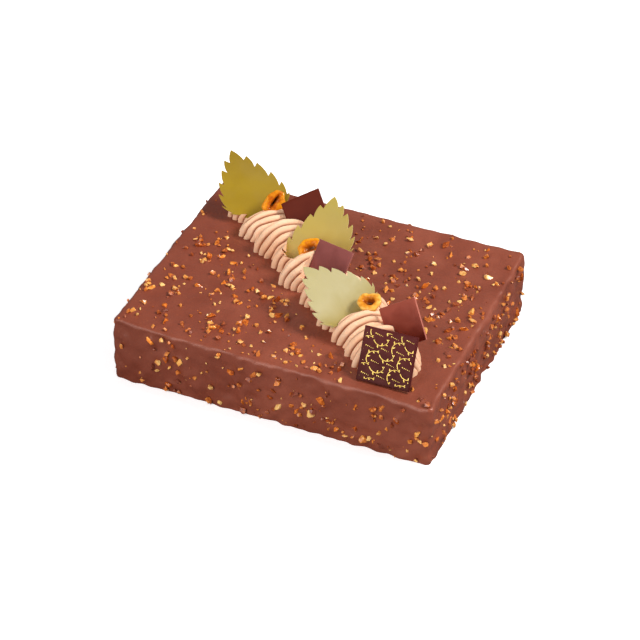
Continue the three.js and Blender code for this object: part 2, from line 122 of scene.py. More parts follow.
STRIP = {
    "start": Vector((-88, 47.5)),
    "turn": math.radians(-38),
    "middle": 15.5,
    # Where each lobe is highest at its left foot, its girth as a share of the lobe below, how much
    # wider its right side is, and how much taller it is.
    "lobes": (
        (4, 0.86, 1, 1), (26, 1.02, 1, 0.82), (46, 1, 1, 1.12), (66, 0.88, 1, 1.15),
        (83.5, 1.1, 1, 1), (107, 0.98, 1.2, 1), (131, 1.02, 1.25, 1), (149, 1.0, 1.1, 1),
        (165, 0.98, 1, 1), (176, 1.04, 1, 1),
    ),
}
LOBE = {
    "arch_half_width": 11,
    "arch_height": 9.8,
    "thickness": 9.2,
    "back_length": 9.5,
    "front_length": 18,
    "front_taper": 0.42,
    "front_closing": 0.5,
    "closing_power": 8,
    "back_taper": 0.85,
    "least": 1.2,
    "slant": 9,
    "back_ridges": 2,
    "front_ridges": 6,
    "ridge_depth": 0.28,
    "ridge_roundness": 0.75,
    "spread": math.radians(100),
    "overrun": 0.3,
    "arch_cells": 110,
    "turn_cells": 104,
    # How far the cream reaches down into the cake, and how far down its walls are drawn at first.
    "skirt": 1.6,
    "wall_drop": 6,
    "cut_away": 30,
    # Noise that moves the ridges and the skin: size, and its rates by arch, turn and lobe.
    "ridge_wander": 0.23,
    "wander_rates": (1.7, 2.3, 9),
    "unevenness": 0.59,
    "uneven_rates": (2.2, 5, 7),
    "uneven_shift": 5,
    "steady_turn": 6,
}

LEAF = {
    "length": 52,
    "thickness": 1.2,
    # Distance from the tip and half width of each tooth.
    "teeth": ((6.3, 6.8), (12.5, 11), (20.5, 16.2), (28.5, 19.5), (36.5, 21), (43, 19), (47.4, 12.5)),
    "notch": 2.5,
    "widest": 36.5,
    "turn_in": 0.14,
    "bulge": 0.8,
    "belly_steps": 5,
    "root_half_width": 4,
    "fold": 0.05,
    "curl": 0.0022,
    "wave": {"height": 0.35, "x": 0.12, "y": 0.24},
    "cell": 2.0,
    "cells_reach": 24,
    "sharpest": 0.3,
    "rim": 0.42,
}
LEAVES = {
    "leaf_back": {
        "tip": (-94.0, 67.1, 81.0), "root": (-60.0, 46.6, 48.2), "side": (-0.843, -0.516, -0.154),
        "width": 1.07, "presses": 1,
    },
    "leaf_middle": {
        "tip": (-11.2, 45.1, 82.0), "root": (-11.7, 9.8, 47.4), "side": (-0.961, -0.253, -0.11),
        "width": 1.08, "presses": 4,
    },
    "leaf_front": {
        "tip": (-5.2, -17.8, 72.3), "root": (41.4, -31.2, 54.6), "side": (-0.433, -0.873, -0.225),
        "width": 1.03, "presses": 7,
    },
}

NUT = {
    "half_length": 8,
    "half_width": 6.7,
    "depth": 5.6,
    "lip": 0.5,
    "rim": 1.1,
    "rim_depth": 0.35,
    "dip": 6,
    "steps": 64,
    "back_rings": 14,
    "rim_rings": 10,
    "hollow_rings": 10,
    "wander_rate": 1.3,
    "wander_shift": 3,
    "rough": 0.45,
    "rough_rate": 2.6,
    "rough_rise": 0.3,
}
# The mouth is its half length and half width as shares of the nut's, and wander is unevenness.
NUTS = {
    "hazelnut_back": {
        "centre": (-55.2, 48.8, 62.4), "facing": (0.42, -0.62, 0.66), "roll": 40,
        "mouth": (0.62, 0.12), "hollow": 2.8, "mouth_turn": 10, "wander": 0.3,
    },
    "hazelnut_middle": {
        "centre": (-13.5, 12.9, 62.1), "facing": (0.2, -0.6, 0.77), "roll": 25,
        "mouth": (0.42, 0.3), "hollow": 0.9, "mouth_turn": 0, "wander": 0.4,
    },
    "hazelnut_front": {
        "centre": (42.6, -26.0, 65.4), "facing": (-0.1, -0.35, 0.93), "roll": 10,
        "mouth": (0.46, 0.4), "hollow": 3.2, "mouth_turn": 20, "wander": 0.34,
    },
}

PLATE_TWIST = 0.5
PLATE_CELLS = 14
ROOM_CELLS = {"leaf": 6, "plate": 4}
PLATE_EDGE = 0.22
# Edges that turn by more than this are the rim of a flat piece.
RIM_ANGLE = math.radians(60)
# A plate's outline is a little uneven: how far in that starts, as a share, its height and rate.
PLATE_WEAR = {"band": 0.48, "height": 0.12, "rate": 0.35, "by_name": 7, "shift": Vector((31, 0, 0))}
# How far a spot's normal lies over before it belongs to a thin edge, and before it is all edge.
RIM_SLOPE = (0.05, 0.5)
PLATES = {
    "chocolate_square_back": {
        "corner": (-48.6, 45.8, 64.4), "right": (0.8, 0.42, 0.43), "down": (0.6, -0.62, -0.5),
        "width": 26.5, "height": 26.5, "thickness": 1.5, "bow": 0.35, "presses": 0,
    },
    "chocolate_square_middle": {
        "corner": (-6.7, 12.4, 72.0), "right": (0.96, -0.27, 0.06), "down": (-0.13, -0.62, -0.77),
        "width": 26.6, "height": 26.6, "thickness": 1.5, "bow": 0.3, "presses": 6,
    },
    "chocolate_square_front": {
        "corner": (51.2, -31.5, 66.5), "right": (0.84, 0.1, 0.54), "down": (0.5, -0.45, -0.74),
        "width": 25.8, "height": 26.6, "thickness": 1.5, "bow": 0.3, "presses": 0,
    },
    "chocolate_plaque": {
        "corner": (52.1, -55.8, 72.1), "right": (0.999, 0.045, -0.006), "down": (0.07, -0.59, -0.804),
        "width": 33.8, "height": 33, "thickness": 1.7, "bow": 0, "presses": 10,
    },
}

# Gold print on the plaque: rows of curled sprigs with dots between them.
PRINT = {
    "margin": 1.6,
    "raise": 0.04,
    "thickness": 0.05,
    "line": 0.5,
    "line_cells": 14,
    "line_thinning": 0.6,
    "sprig_length": 12.5,
    "sprig_curl": math.radians(150),
    "sprig_heading": math.radians(-60),
    "turned_back": Vector((3, -6)),
    "blades": 4,
    "first_blade": 1.5,
    "blade_length": 2.2,
    "blade_width": 0.85,
    "blade_lean": math.radians(55),
    "blade_fall": 0.1,
    "first_sprig": Vector((2, 1)),
    "row_pitch": 8.2,
    "column_pitch": 9.8,
    "dot_radius": 0.36,
    "dots_between": 5,
    "first_dot": Vector((5.6, -4.2)),
    "dot_step": Vector((1.1, -0.25)),
    "dot_fall": 0.12,
    "sides": 12,
}

FLOOR_SIZE = 3
# Light that the floor gives off of itself, to the camera alone.
FLOOR_GLOW = 0.5
SKY = 0.3
LIGHTS = {
    "key": {
        "towards": (0.62, 0.24, 0.66), "spread": 20, "brightness": 0.66, "colour": (1.0, 0.98, 0.95),
    },
    "front": {
        "towards": (-0.2, -0.7, 0.68), "spread": 40, "brightness": 0.22, "colour": (0.99, 0.99, 1.0),
    },
    "low_front": {
        "towards": (-0.3, -0.9, 0.34), "spread": 36, "brightness": 0.08, "colour": (1.0, 0.98, 0.97),
    },
}

CAMERA = {
    "location": (0.47525, -1.10183, 0.97996),
    "forward": (-0.3100, 0.7161, -0.6254),
    "lens": 136.2,
    "sensor": 36,
    "nearest": 0.05,
    "farthest": 20,
}


# ------------------------------------------------------------------ helpers


def random_stream(seed):
    """A repeatable stream of numbers from 0 to 1, the same as the CAD source draws."""
    state = seed

    def draw():
        nonlocal state
        state = (state * 1664525 + 1013904223) % 2**32
        return state / 2**32

    return draw


def between(random, limits):
    """The next number of a stream, brought between two limits."""
    return limits[0] + (limits[1] - limits[0]) * random()


def any_way(random):
    """A random vector whose parts lie from -0.5 to 0.5."""
    return Vector((random() - 0.5, random() - 0.5, random() - 0.5))


def srgb(red, green, blue):
    """A colour as a screen shows it, from 0 to 255, as the light values that shaders take."""
    def to_light(value):
        share = value / 255
        return share / 12.92 if share <= 0.04045 else ((share + 0.055) / 1.055) ** 2.4

    return (to_light(red), to_light(green), to_light(blue), 1.0)


def smooth_step(low, high, value):
    """0 below the low value and 1 above the high one, with a soft rise between them."""
    share = min(1.0, max(0.0, (value - low) / (high - low)))
    return share * share * (3 - 2 * share)


def frame_of(origin, x_direction, y_direction):
    """The matrix that puts up a piece drawn in its own x and y."""
    x = Vector(x_direction).normalized()
    y = Vector(y_direction).normalized()
    z = x.cross(y).normalized()
    return Matrix.Translation(Vector(origin)) @ Matrix((x, y, z)).transposed().to_4x4()


def everything(bm):
    """All that a mesh is made of, for the operators that take a list of it."""
    return list(bm.verts) + list(bm.edges) + list(bm.faces)


def cut_by_plane(bm, place, across, clear=False):
    """Cuts a mesh along a plane, and clears what lies beyond it if that is asked."""
    return bmesh.ops.bisect_plane(
        bm, geom=everything(bm), dist=1e-4, plane_co=place, plane_no=across, clear_outer=clear,
    )["geom_cut"]


def round_edges(bm, edges, offset, segments):
    bmesh.ops.bevel(
        bm, geom=edges, offset=offset, segments=segments, profile=0.5,
        affect="EDGES", clamp_overlap=True, material=-1,
    )


def make_piece(name, bm, material, node, sharp_angle):
    """Turns a mesh in millimetres into a piece that stands for a CAD node, or adds to them all."""
    bmesh.ops.scale(bm, vec=Vector((MM, MM, MM)), verts=bm.verts)
    mesh = bpy.data.meshes.new(name)
    bm.to_mesh(mesh)
    bm.free()
    mesh.shade_smooth()
    mesh.set_sharp_from_angle(angle=math.radians(sharp_angle))
    mesh.materials.append(material)
    piece = bpy.data.objects.new(name, mesh)
    bpy.context.scene.collection.objects.link(piece)
    if node is not None:
        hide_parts(node)
    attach(piece, "root")


# ------------------------------------------------------------------ materials


class Finish:
    """A material, with short ways to add nodes in front of its shader."""

    def __init__(self, name, constants):
        self.material = bpy.data.materials.new(name)
        self.material.use_nodes = True
        self.tree = self.material.node_tree
        self.shader = self.tree.nodes["Principled BSDF"]
        for socket, value in constants.items():
            self.shader.inputs[socket].default_value = value

    def add(self, kind, **settings):
        node = self.tree.nodes.new(kind)
        for setting, value in settings.items():
            setattr(node, setting, value)
        return node

    def link(self, output, socket):
        self.tree.links.new(output, socket)

    def place(self):
        """Where a spot lies on the object, in metres."""
        return self.add("ShaderNodeTexCoord").outputs["Object"]

    def noise(self, size, detail=3, distortion=0):
        """Noise whose blotches are about size millimetres across."""
        node = self.add("ShaderNodeTexNoise")
        node.inputs["Scale"].default_value = 1 / (size * MM)
        node.inputs["Detail"].default_value = detail
        node.inputs["Distortion"].default_value = distortion
        self.link(self.place(), node.inputs["Vector"])
        return node.outputs["Fac"]

    def drift(self, size, swing, **settings):
        """The same noise, but half swing to either side of 0."""
        return self.math("MULTIPLY", self.math("SUBTRACT", self.noise(size, **settings), 0.5), swing)

    def attribute(self, name):
        return self.add("ShaderNodeAttribute", attribute_name=name).outputs["Fac"]

    def ramp(self, factor, stops):
        node = self.add("ShaderNodeValToRGB")
        elements = node.color_ramp.elements
        while len(elements) < len(stops):
            elements.new(0.5)
        for element, (position, colour) in zip(elements, stops):
            element.position = position
            element.color = colour
        self.link(factor, node.inputs["Fac"])
        return node.outputs["Color"]

    def mix(self, factor, first, second):
        """From a first colour at 0 to a second at 1. Each is a constant or comes from a node."""
        node = self.add("ShaderNodeMix", data_type="RGBA")
        self.link(factor, node.inputs["Factor"])
        colour_sockets = [socket for socket in node.inputs if socket.type == "RGBA"]
        for socket, value in zip(colour_sockets, (first, second)):
            if isinstance(value, tuple):
                socket.default_value = value
            else:
                self.link(value, socket)
        return next(socket for socket in node.outputs if socket.type == "RGBA")

    def map_range(self, value, low, high, to_low=0.0, to_high=1.0):
        """Brings a value from one range to another, with a soft start and end."""
        node = self.add("ShaderNodeMapRange", interpolation_type="SMOOTHSTEP")
        limits = {"From Min": low, "From Max": high, "To Min": to_low, "To Max": to_high}
        for socket, number in limits.items():
            node.inputs[socket].default_value = number
        self.link(value, node.inputs["Value"])
        return node.outputs["Result"]

    def math(self, operation, first, second):
        node = self.add("ShaderNodeMath", operation=operation)
        for socket, value in zip(node.inputs, (first, second)):
            if isinstance(value, (int, float)):
                socket.default_value = value
            else:
                self.link(value, socket)
        return node.outputs[0]

    def bump(self, height, distance, under=None):
        """Relief of a height in millimetres, over another one if that is given."""
        node = self.add("ShaderNodeBump")
        node.inputs["Strength"].default_value = 1.0
        node.inputs["Distance"].default_value = distance * MM
        self.link(height, node.inputs["Height"])
        if under is not None:
            self.link(under, node.inputs["Normal"])
        return node.outputs["Normal"]

    def colour(self, output):
        self.link(output, self.shader.inputs["Base Color"])

    def roughness(self, output):
        self.link(output, self.shader.inputs["Roughness"])

    def relief(self, output):
        self.link(output, self.shader.inputs["Normal"])


def glaze_finish():
    """Milk chocolate glaze: satin, blotched, with fine nut dust, and painted shade that darkens it
    towards its left end.
    """
    finish = Finish("milk_chocolate_glaze", {
        "IOR": 1.45,
        "Specular IOR Level": 0.5,
        "Specular Tint": srgb(255, 214, 198),
        "Coat Weight": 0.26,
        "Coat Roughness": 0.32,
        "Coat Tint": srgb(255, 240, 232),
    })
    thin = finish.ramp(finish.noise(24, detail=5), (
        (0.3, srgb(127, 62, 44)),
        (0.5, srgb(140, 72, 53)),
        (0.7, srgb(150, 81, 61)),
    ))
    # Painted shade: the colour darkens towards the cake's left end, by the object's X.
    axes = finish.add("ShaderNodeSeparateXYZ")
    finish.link(finish.place(), axes.inputs["Vector"])
    thickness = finish.map_range(
        axes.outputs["X"], GLAZE_PAINTED_SHADE["all"] * MM, GLAZE_PAINTED_SHADE["none"] * MM, GLAZE_PAINTED_SHADE["share"], 0.0,
    )
    body = finish.mix(thickness, thin, srgb(118, 55, 38))
    specks = finish.map_range(finish.noise(1.6, detail=2), 0.62, 0.74)
    finish.colour(finish.mix(finish.math("MULTIPLY", specks, 0.3), body, srgb(160, 92, 56)))
    finish.roughness(finish.map_range(finish.noise(7, detail=3), 0.3, 0.7, 0.32, 0.5))
    broad = finish.bump(finish.noise(5, detail=3), 0.55)
    finish.relief(finish.bump(finish.noise(1.1, detail=2), 0.07, under=broad))
    return finish.material


def nut_colours(finish):
    """Toasted nut: each chip has its own tone, and darker streaks of skin run over it."""
    shade = finish.math("ADD", finish.attribute("tone"), finish.drift(1.7, 1.5))
    return finish.ramp(shade, (
        (0.05, srgb(146, 62, 22)),
        (0.35, srgb(206, 108, 36)),
        (0.65, srgb(234, 144, 58)),
        (0.95, srgb(254, 202, 120)),
    ))


def bare_nut_finish():
    """A toasted chip that no glaze covers, with a light gloss."""
    finish = Finish("toasted_nut", {
        "IOR": 1.48,
        "Specular Tint": srgb(255, 204, 140),
        "Coat Weight": 0.45,
        "Coat Roughness": 0.12,
        "Coat Tint": srgb(255, 226, 176),
        "Subsurface Weight": 0.1,
        "Subsurface Radius": (1.0, 0.55, 0.25),
        "Subsurface Scale": 0.001,
    })
    finish.colour(nut_colours(finish))
    finish.roughness(finish.map_range(finish.noise(1.2), 0.3, 0.7, 0.25, 0.5))
    finish.relief(finish.bump(finish.noise(0.7, detail=3), 0.14))
    return finish.material


def half_coated_nut_finish():
    """A chip with glaze washed up its sides: bareness says how far out a spot stands."""
    finish = Finish("nut_in_glaze", {"IOR": 1.48, "Coat Weight": 0.45, "Coat Roughness": 0.18})
    bareness = finish.math("ADD", finish.attribute("bareness"), finish.drift(1.6, 0.8))
    shown = finish.map_range(bareness, 0.3, 0.5)
    finish.colour(finish.mix(shown, srgb(146, 68, 44), nut_colours(finish)))
    finish.roughness(finish.map_range(shown, 0, 1, 0.3, 0.36))
    finish.relief(finish.bump(finish.noise(0.9, detail=3), 0.12))
    return finish.material


def cream_finish():
    """Piped hazelnut cream, with painted shade that browns it down in its grooves."""
    finish = Finish("piped_hazelnut_cream", {
        "IOR": 1.42,
        "Specular IOR Level": 0.3,
        "Subsurface Weight": 0.06,
        "Subsurface Radius": (1.0, 0.55, 0.3),
        "Subsurface Scale": 0.0008,
    })
    tint = finish.noise(18, detail=3)
    skin = finish.ramp(tint, ((0.3, srgb(248, 196, 156)), (0.7, srgb(255, 213, 178))))
    # Painted shade: the cream's colour turns brown down in its grooves.
    groove = finish.map_range(finish.attribute("groove"), 0.2, 0.8)
    finish.colour(finish.mix(finish.math("MULTIPLY", groove, 0.95), skin, srgb(152, 76, 38)))
    finish.roughness(finish.map_range(finish.noise(2.2), 0.3, 0.7, 0.42, 0.58))
    pores = finish.bump(finish.noise(1.3, detail=5), 0.3)
    finish.relief(finish.bump(finish.noise(0.45, detail=2), 0.07, under=pores))
    return finish.material


def leaf_finish(name, tip, middle, root, edge):
    """Moulded leaf of tinted white chocolate: its colour drifts from tip to root, and a darker root is
    partly painted shade.
    """
    finish = Finish(name, {
        "IOR": 1.45,
        "Specular IOR Level": 0.3,
        "Subsurface Weight": 0.08,
        "Subsurface Radius": (1.0, 0.8, 0.35),
        "Subsurface Scale": 0.0012,
        "Coat Weight": 0.05,
        "Coat Roughness": 0.3,
    })
    along = finish.math("ADD", finish.attribute("along"), finish.drift(20, 0.5, distortion=0.6))
    # Where a hazelnut sits over the root, the darker root colour is partly painted shade.
    body = finish.ramp(along, ((0.1, tip), (0.5, middle), (0.95, root)))
    finish.colour(finish.mix(finish.attribute("rim"), body, edge))
    finish.roughness(finish.map_range(finish.noise(9), 0.3, 0.7, 0.34, 0.5))
    finish.relief(finish.bump(finish.noise(5, detail=3), 0.2))
    return finish.material


def hazelnut_finish(name, rim, flesh, inner, hole):
    """Glossy caramelised nut: its colour runs from the rim down into the hole, growing darker as it goes,
    partly the nut's browner inside and partly painted shade in the hollow.
    """
    finish = Finish(name, {
        "IOR": 1.5,
        "Specular IOR Level": 0.3,
        "Specular Tint": srgb(255, 214, 150),
        "Coat Weight": 0.2,
        "Coat Roughness": 0.1,
        "Subsurface Weight": 0.08,
        "Subsurface Radius": (1.0, 0.5, 0.2),
        "Subsurface Scale": 0.0012,
    })
    # The deepest colours are partly the nut's own brown and partly painted shade in the hollow.
    depth = finish.math("ADD", finish.attribute("depth"), finish.drift(3.0, 0.7, detail=4))
    finish.colour(finish.ramp(depth, ((0.0, rim), (0.22, flesh), (0.5, inner), (0.85, hole))))
    finish.roughness(finish.map_range(finish.noise(2.5), 0.3, 0.7, 0.2, 0.4))
    finish.relief(finish.bump(finish.noise(1.6, detail=4), 0.4))
    return finish.material


def chocolate_finish(name, dark, light, edge, roughness):
    """Tempered chocolate plate: smooth, with faint clouds, a painted reflection that makes it lighter at
    the top and a painted highlight on its edges.
    """
    finish = Finish(name, {
        "IOR": 1.5,
        "Specular IOR Level": 0.18,
        "Specular Tint": srgb(255, 176, 160),
        "Coat Weight": 0.03,
        "Coat Roughness": 0.2,
    })
    clouds = finish.noise(11, detail=4, distortion=0.5)
    # Painted reflection: the face is coloured lighter towards its top and darker towards its bottom.
    fall = finish.math("SUBTRACT", finish.math("ADD", clouds, 0.5), finish.attribute("along"))
    face = finish.ramp(fall, ((0.1, dark), (0.9, light)))
    # Painted highlight: the thin edges take the lighter edge colour.
    finish.colour(finish.mix(finish.math("MULTIPLY", finish.attribute("rim"), 0.8), face, edge))
    finish.roughness(finish.map_range(finish.noise(6), 0.3, 0.7, roughness, roughness + 0.14))
    finish.relief(finish.bump(finish.noise(3.2, detail=3), 0.08))
    return finish.material


def gold_finish():
    """Gold dust in a printed film, so more of a yellow pigment than a metal."""
    finish = Finish("gold_print", {"Metallic": 0.35, "Specular IOR Level": 0.5})
    dust = finish.noise(3, detail=2)
    finish.colour(finish.ramp(dust, ((0.3, srgb(206, 166, 52)), (0.7, srgb(234, 202, 104)))))
    finish.roughness(finish.map_range(finish.noise(1.5), 0.3, 0.7, 0.3, 0.45))
    return finish.material


def floor_finish():
    """Pale floor: white to the camera, and less bright than that to the cake that stands on it."""
    finish = Finish("pale_floor", {"Roughness": 0.8, "Specular IOR Level": 0.05})
    path = finish.add("ShaderNodeLightPath").outputs
    seen = path["Is Camera Ray"]
    clouds = finish.noise(300, detail=1)
    paper = finish.ramp(clouds, ((0.3, srgb(247, 246, 247)), (0.7, srgb(251, 250, 251))))
    bounce = finish.mix(path["Is Glossy Ray"], srgb(204, 198, 198), srgb(96, 92, 92))
    finish.colour(finish.mix(seen, bounce, paper))
    finish.shader.inputs["Emission Color"].default_value = (1.0, 1.0, 1.0, 1.0)
    finish.link(finish.math("MULTIPLY", seen, FLOOR_GLOW), finish.shader.inputs["Emission Strength"])
    return finish.material


# ------------------------------------------------------------------ the glazed slab

FACES = {
    "top": {"out": Vector((0, 0, 1)), "right": Vector((1, 0, 0)), "up": Vector((0, 1, 0))},
    "front": {"out": Vector((0, -1, 0)), "right": Vector((1, 0, 0)), "up": Vector((0, 0, 1))},
    "back": {"out": Vector((0, 1, 0)), "right": Vector((-1, 0, 0)), "up": Vector((0, 0, 1))},
    "right": {"out": Vector((1, 0, 0)), "right": Vector((0, 1, 0)), "up": Vector((0, 0, 1))},
    "left": {"out": Vector((-1, 0, 0)), "right": Vector((0, -1, 0)), "up": Vector((0, 0, 1))},
}


def top_lift(x, y):
    """How far the top stands over its middle: it rises to two edges and drops at one corner."""
    lift = CAKE["lift"]
    at_left = lift["left"] * math.exp(-0.5 * ((x + HALF.x) / lift["edge_reach"]) ** 2)
    at_back = lift["back"] * math.exp(-0.5 * ((y - HALF.y) / lift["edge_reach"]) ** 2)
    from_corner = math.hypot(x - HALF.x, y + HALF.y)
    at_corner = lift["front_right"] * math.exp(-0.5 * (from_corner / lift["corner_reach"]) ** 2)
    return max(at_left, at_back) + at_corner


def settle_on_slab(point, out):
    """Turns a point of the plain slab, centred on the origin, into one of the real slab."""
    wall = Vector((out.x, out.y, 0))
    if wall.length_squared > 0:
        swell = sum(r["height"] * math.sin(r["rate"].dot(point) + r["phase"]) for r in CAKE["ripples"])
        point = point + wall.normalized() * swell
    z = point.z + HALF.z
    return Vector((point.x, point.y, z + z / CAKE["height"] * top_lift(point.x, point.y)))


def grid_line(index, cells, half):
    """Lines gather in the rounded band at each end and are even between."""
    band = CAKE["edge_radius"]
    ends = CAKE["edge_cells"]
    if index < ends:
        return -half + band * index / ends
    if index > cells - ends:
        return half - band * (cells - index) / ends
    return (half - band) * (2 * (index - ends) / (cells - 2 * ends) - 1)


def to_strip(x, y):
    """Distance along the strip of cream and across it."""
    offset = Vector((x, y)) - STRIP["start"]
    cos, sin = math.cos(-STRIP["turn"]), math.sin(-STRIP["turn"])
    return offset.x * cos - offset.y * sin, offset.x * sin + offset.y * cos


def under_strip(x, y, margin):
    along, across = to_strip(x, y)
    first = STRIP["lobes"][0][0]
    last = STRIP["lobes"][-1][0]
    half_width = LOBE["arch_half_width"] + LOBE["thickness"] + margin
    start = first - LOBE["back_length"] - margin
    end = last + LOBE["slant"] + LOBE["front_length"] + margin
    return start < along < end and abs(across - STRIP["middle"]) < half_width


def under_plaque(x, y, margin):
    """The plaque stands on the cake, so no chip lies under its lower edge."""
    plaque = PLATES["chocolate_plaque"]
    foot_x = plaque["corner"][0] + plaque["down"][0] * plaque["height"]
    foot_y = plaque["corner"][1] + plaque["down"][1] * plaque["height"]
    return foot_x - margin < x < foot_x + plaque["width"] + margin and abs(y - foot_y) < margin


def chip_density(x, y):
    density = CHIPS["density"]
    return density["middle"] + density["to_right"] * x / HALF.x - density["to_front"] * y / HALF.y


def find_spot(face, radius, taken, random, spacing, edge_margin):
    """A free place on a face, or nothing after too many tries."""
    out = face["out"]

    def size_along(direction):
        return 2 * (abs(HALF.dot(direction)) - edge_margin - radius)

    for _ in range(CHIPS["tries"]):
        spot = Vector((HALF.x * out.x, HALF.y * out.y, HALF.z * out.z))
        spot += face["right"] * ((random() - 0.5) * size_along(face["right"]))
        spot += face["up"] * ((random() - 0.5) * size_along(face["up"]))
        wanted = random() < chip_density(spot.x, spot.y)
        spot = settle_on_slab(spot, out)
        margin = radius + CHIPS["strip_margin"]
        covered = out.z > 0 and (
            under_strip(spot.x, spot.y, margin) or under_plaque(spot.x, spot.y, margin)
        )
        crowded = any((other - spot).length < (size + radius) * spacing for other, size in taken)
        if wanted and not covered and not crowded:
            return spot
    return None


def chip_places():
    """Every chip as the CAD source scatters it: its place, its size, and the turn that lays it."""
    random = random_stream(CHIPS["seed"])

    def either(size):
        return size * (2 * random() - 1)

    places = []
    for name, count in CHIPS["counts"].items():
        face = FACES[name]
        stand = Vector((0, 0, 1)).rotation_difference(face["out"]).to_matrix()
        taken = []
        for i in range(count):
            share = i / count
            fall = share ** CHIPS["size_fall"]
            radius = CHIPS["largest"] + (CHIPS["smallest"] - CHIPS["largest"]) * fall
            spot = find_spot(face, radius, taken, random, CHIPS["spacing"], CHIPS["edge_margin"])
            if spot is None:
                continue
            taken.append((spot, radius))
            narrow = between(random, CHIPS["narrowness"])
            flat = between(random, CHIPS["flatness"])
            scale = Matrix.Diagonal((1, narrow, flat))
            turn_x = Matrix.Rotation(either(CHIPS["tilt"]), 3, "X")
            turn_y = Matrix.Rotation(either(CHIPS["tilt"]), 3, "Y")
            turn_z = Matrix.Rotation(either(math.pi), 3, "Z")
            places.append({
                "face": name,
                "out": face["out"],
                "spot": spot,
                "radius": radius,
                "skew": either(CHIPS["skew"]),
                "shape": stand @ turn_x @ turn_y @ turn_z @ scale * radius,
            })
    return places


def crumb_places(chips):
    """Small crumbs of nut: some right beside a chip, some at the foot of a wall, the rest between."""
    random = random_stream(CRUMBS["seed"])
    places = []
    for name, count in CRUMBS["counts"].items():
        face = FACES[name]
        own = [chip for chip in chips if chip["face"] == name]
        taken = [(chip["spot"], chip["radius"]) for chip in own]
        for _ in range(count):
            share = random() ** CRUMBS["small_share"]
            radius = CRUMBS["smallest"] + (CRUMBS["largest"] - CRUMBS["smallest"]) * share
            luck = random()
            if luck < CRUMBS["beside"]:
                spot = spot_beside(own[int(random() * len(own))], radius, face, random)
            else:
                spot = find_spot(face, radius, taken, random, CRUMBS["spacing"], CRUMBS["edge_margin"])
                if spot is not None and name != "top" and luck > 1 - CRUMBS["at_foot"]:
                    spot.z = radius * between(random, CRUMBS["foot_height"])
            if spot is None:
                continue
            taken.append((spot, radius))
            turn = Matrix.Rotation(2 * math.pi * random(), 3, Vector((random(), random(), 1)))
            narrow = between(random, CRUMBS["narrowness"])
            flat = between(random, CRUMBS["flatness"])
            scale = Matrix.Diagonal((1, narrow, flat))
            places.append({
                "face": name,
                "out": face["out"],
                "spot": spot,
                "radius": radius,
                "skew": 0.0,
                "shape": turn @ scale * radius,
            })
    return places


def spot_beside(chip, radius, face, random):
    """A spot where a crumb leans on a chip."""
    angle = 2 * math.pi * random()
    away = face["right"] * math.cos(angle) + face["up"] * math.sin(angle)
    return chip["spot"] + away * (chip["radius"] + radius) * CRUMBS["beside_distance"]


def glaze_height(point, out, chips, tree):
    """How far the glaze stands out at a point: swells, lumps, runs down the walls, and collars."""
    on_top = abs(out.z)
    height = 0.0
    for wave in (GLAZE_SWELL, GLAZE_LUMPS):
        share = 1 + (wave["on_top"] - 1) * on_top
        height += share * wave["height"] * noise.noise(point / wave["wavelength"])
    runs = point / GLAZE_RUNS["wavelength"]
    runs.z /= GLAZE_RUNS["stretch"]
    height += (1 - on_top) * GLAZE_RUNS["height"] * noise.noise(runs)
    below = min(1.0, max(0.0, (CAKE["height"] - point.z) / GLAZE_SHOULDER["drop"]))
    height -= (1 - on_top) * GLAZE_SHOULDER["lean"] * (1 - below) ** 2
    reach = CHIPS["largest"] * 2 * GLAZE_COLLAR["reach"]
    collar = 0.0
    for _, index, distance in tree.find_range(point, reach):
        radius = chips[index]["radius"]
        collar = max(collar, radius * math.exp(-((distance / (radius * GLAZE_COLLAR["reach"])) ** 2)))
    return height + GLAZE_COLLAR["height"] * collar


def glazed_slab(chips, material):
    tree = kdtree.KDTree(len(chips))
    for index, chip in enumerate(chips):
        tree.insert(chip["spot"], index)
    tree.balance()
    bm = bmesh.new()
    bmesh.ops.create_cube(bm, size=2)
    inner = HALF - Vector((CAKE["edge_radius"],) * 3)
    cells = [2 * CAKE["edge_cells"] + round(2 * size / CAKE["cell"]) for size in inner]
    for axis, count in enumerate(cells):
        along = [e for e in bm.edges if abs(e.verts[0].co[axis] - e.verts[1].co[axis]) > 1]
        bmesh.ops.subdivide_edges(bm, edges=along, cuts=count - 1, use_grid_fill=True)
    for vertex in bm.verts:
        shares = [round((vertex.co[axis] + 1) / 2 * cells[axis]) for axis in range(3)]
        point = Vector(grid_line(shares[axis], cells[axis], HALF[axis]) for axis in range(3))
        core = Vector(min(inner[axis], max(-inner[axis], point[axis])) for axis in range(3))
        if point.z < -inner.z:
            core.z = point.z
        out = point - core
        if out.length_squared > 0:
            out.normalize()
            point = core + out * CAKE["edge_radius"]
        point = settle_on_slab(point, out)
        if out.length_squared > 0:
            point += out * glaze_height(point, out, chips, tree)
        vertex.co = point
    bmesh.ops.recalc_face_normals(bm, faces=bm.faces)
    make_piece("glazed_slab", bm, material, "cake", sharp_angle=60)


def chip_corners(random):
    """Corners of an angular bit that is about 1 in every direction."""
    corners = []
    for axis in (Vector((1, 0, 0)), Vector((0, 1, 0)), Vector((0, 0, 1))):
        for way in (1, -1):
            jitter = any_way(random) * 2 * CHIP_CORNERS["jitter"]
            corners.append((axis * way + jitter).normalized())
    for _ in range(CHIP_CORNERS["more"]):
        corners.append(any_way(random).normalized())
    return corners


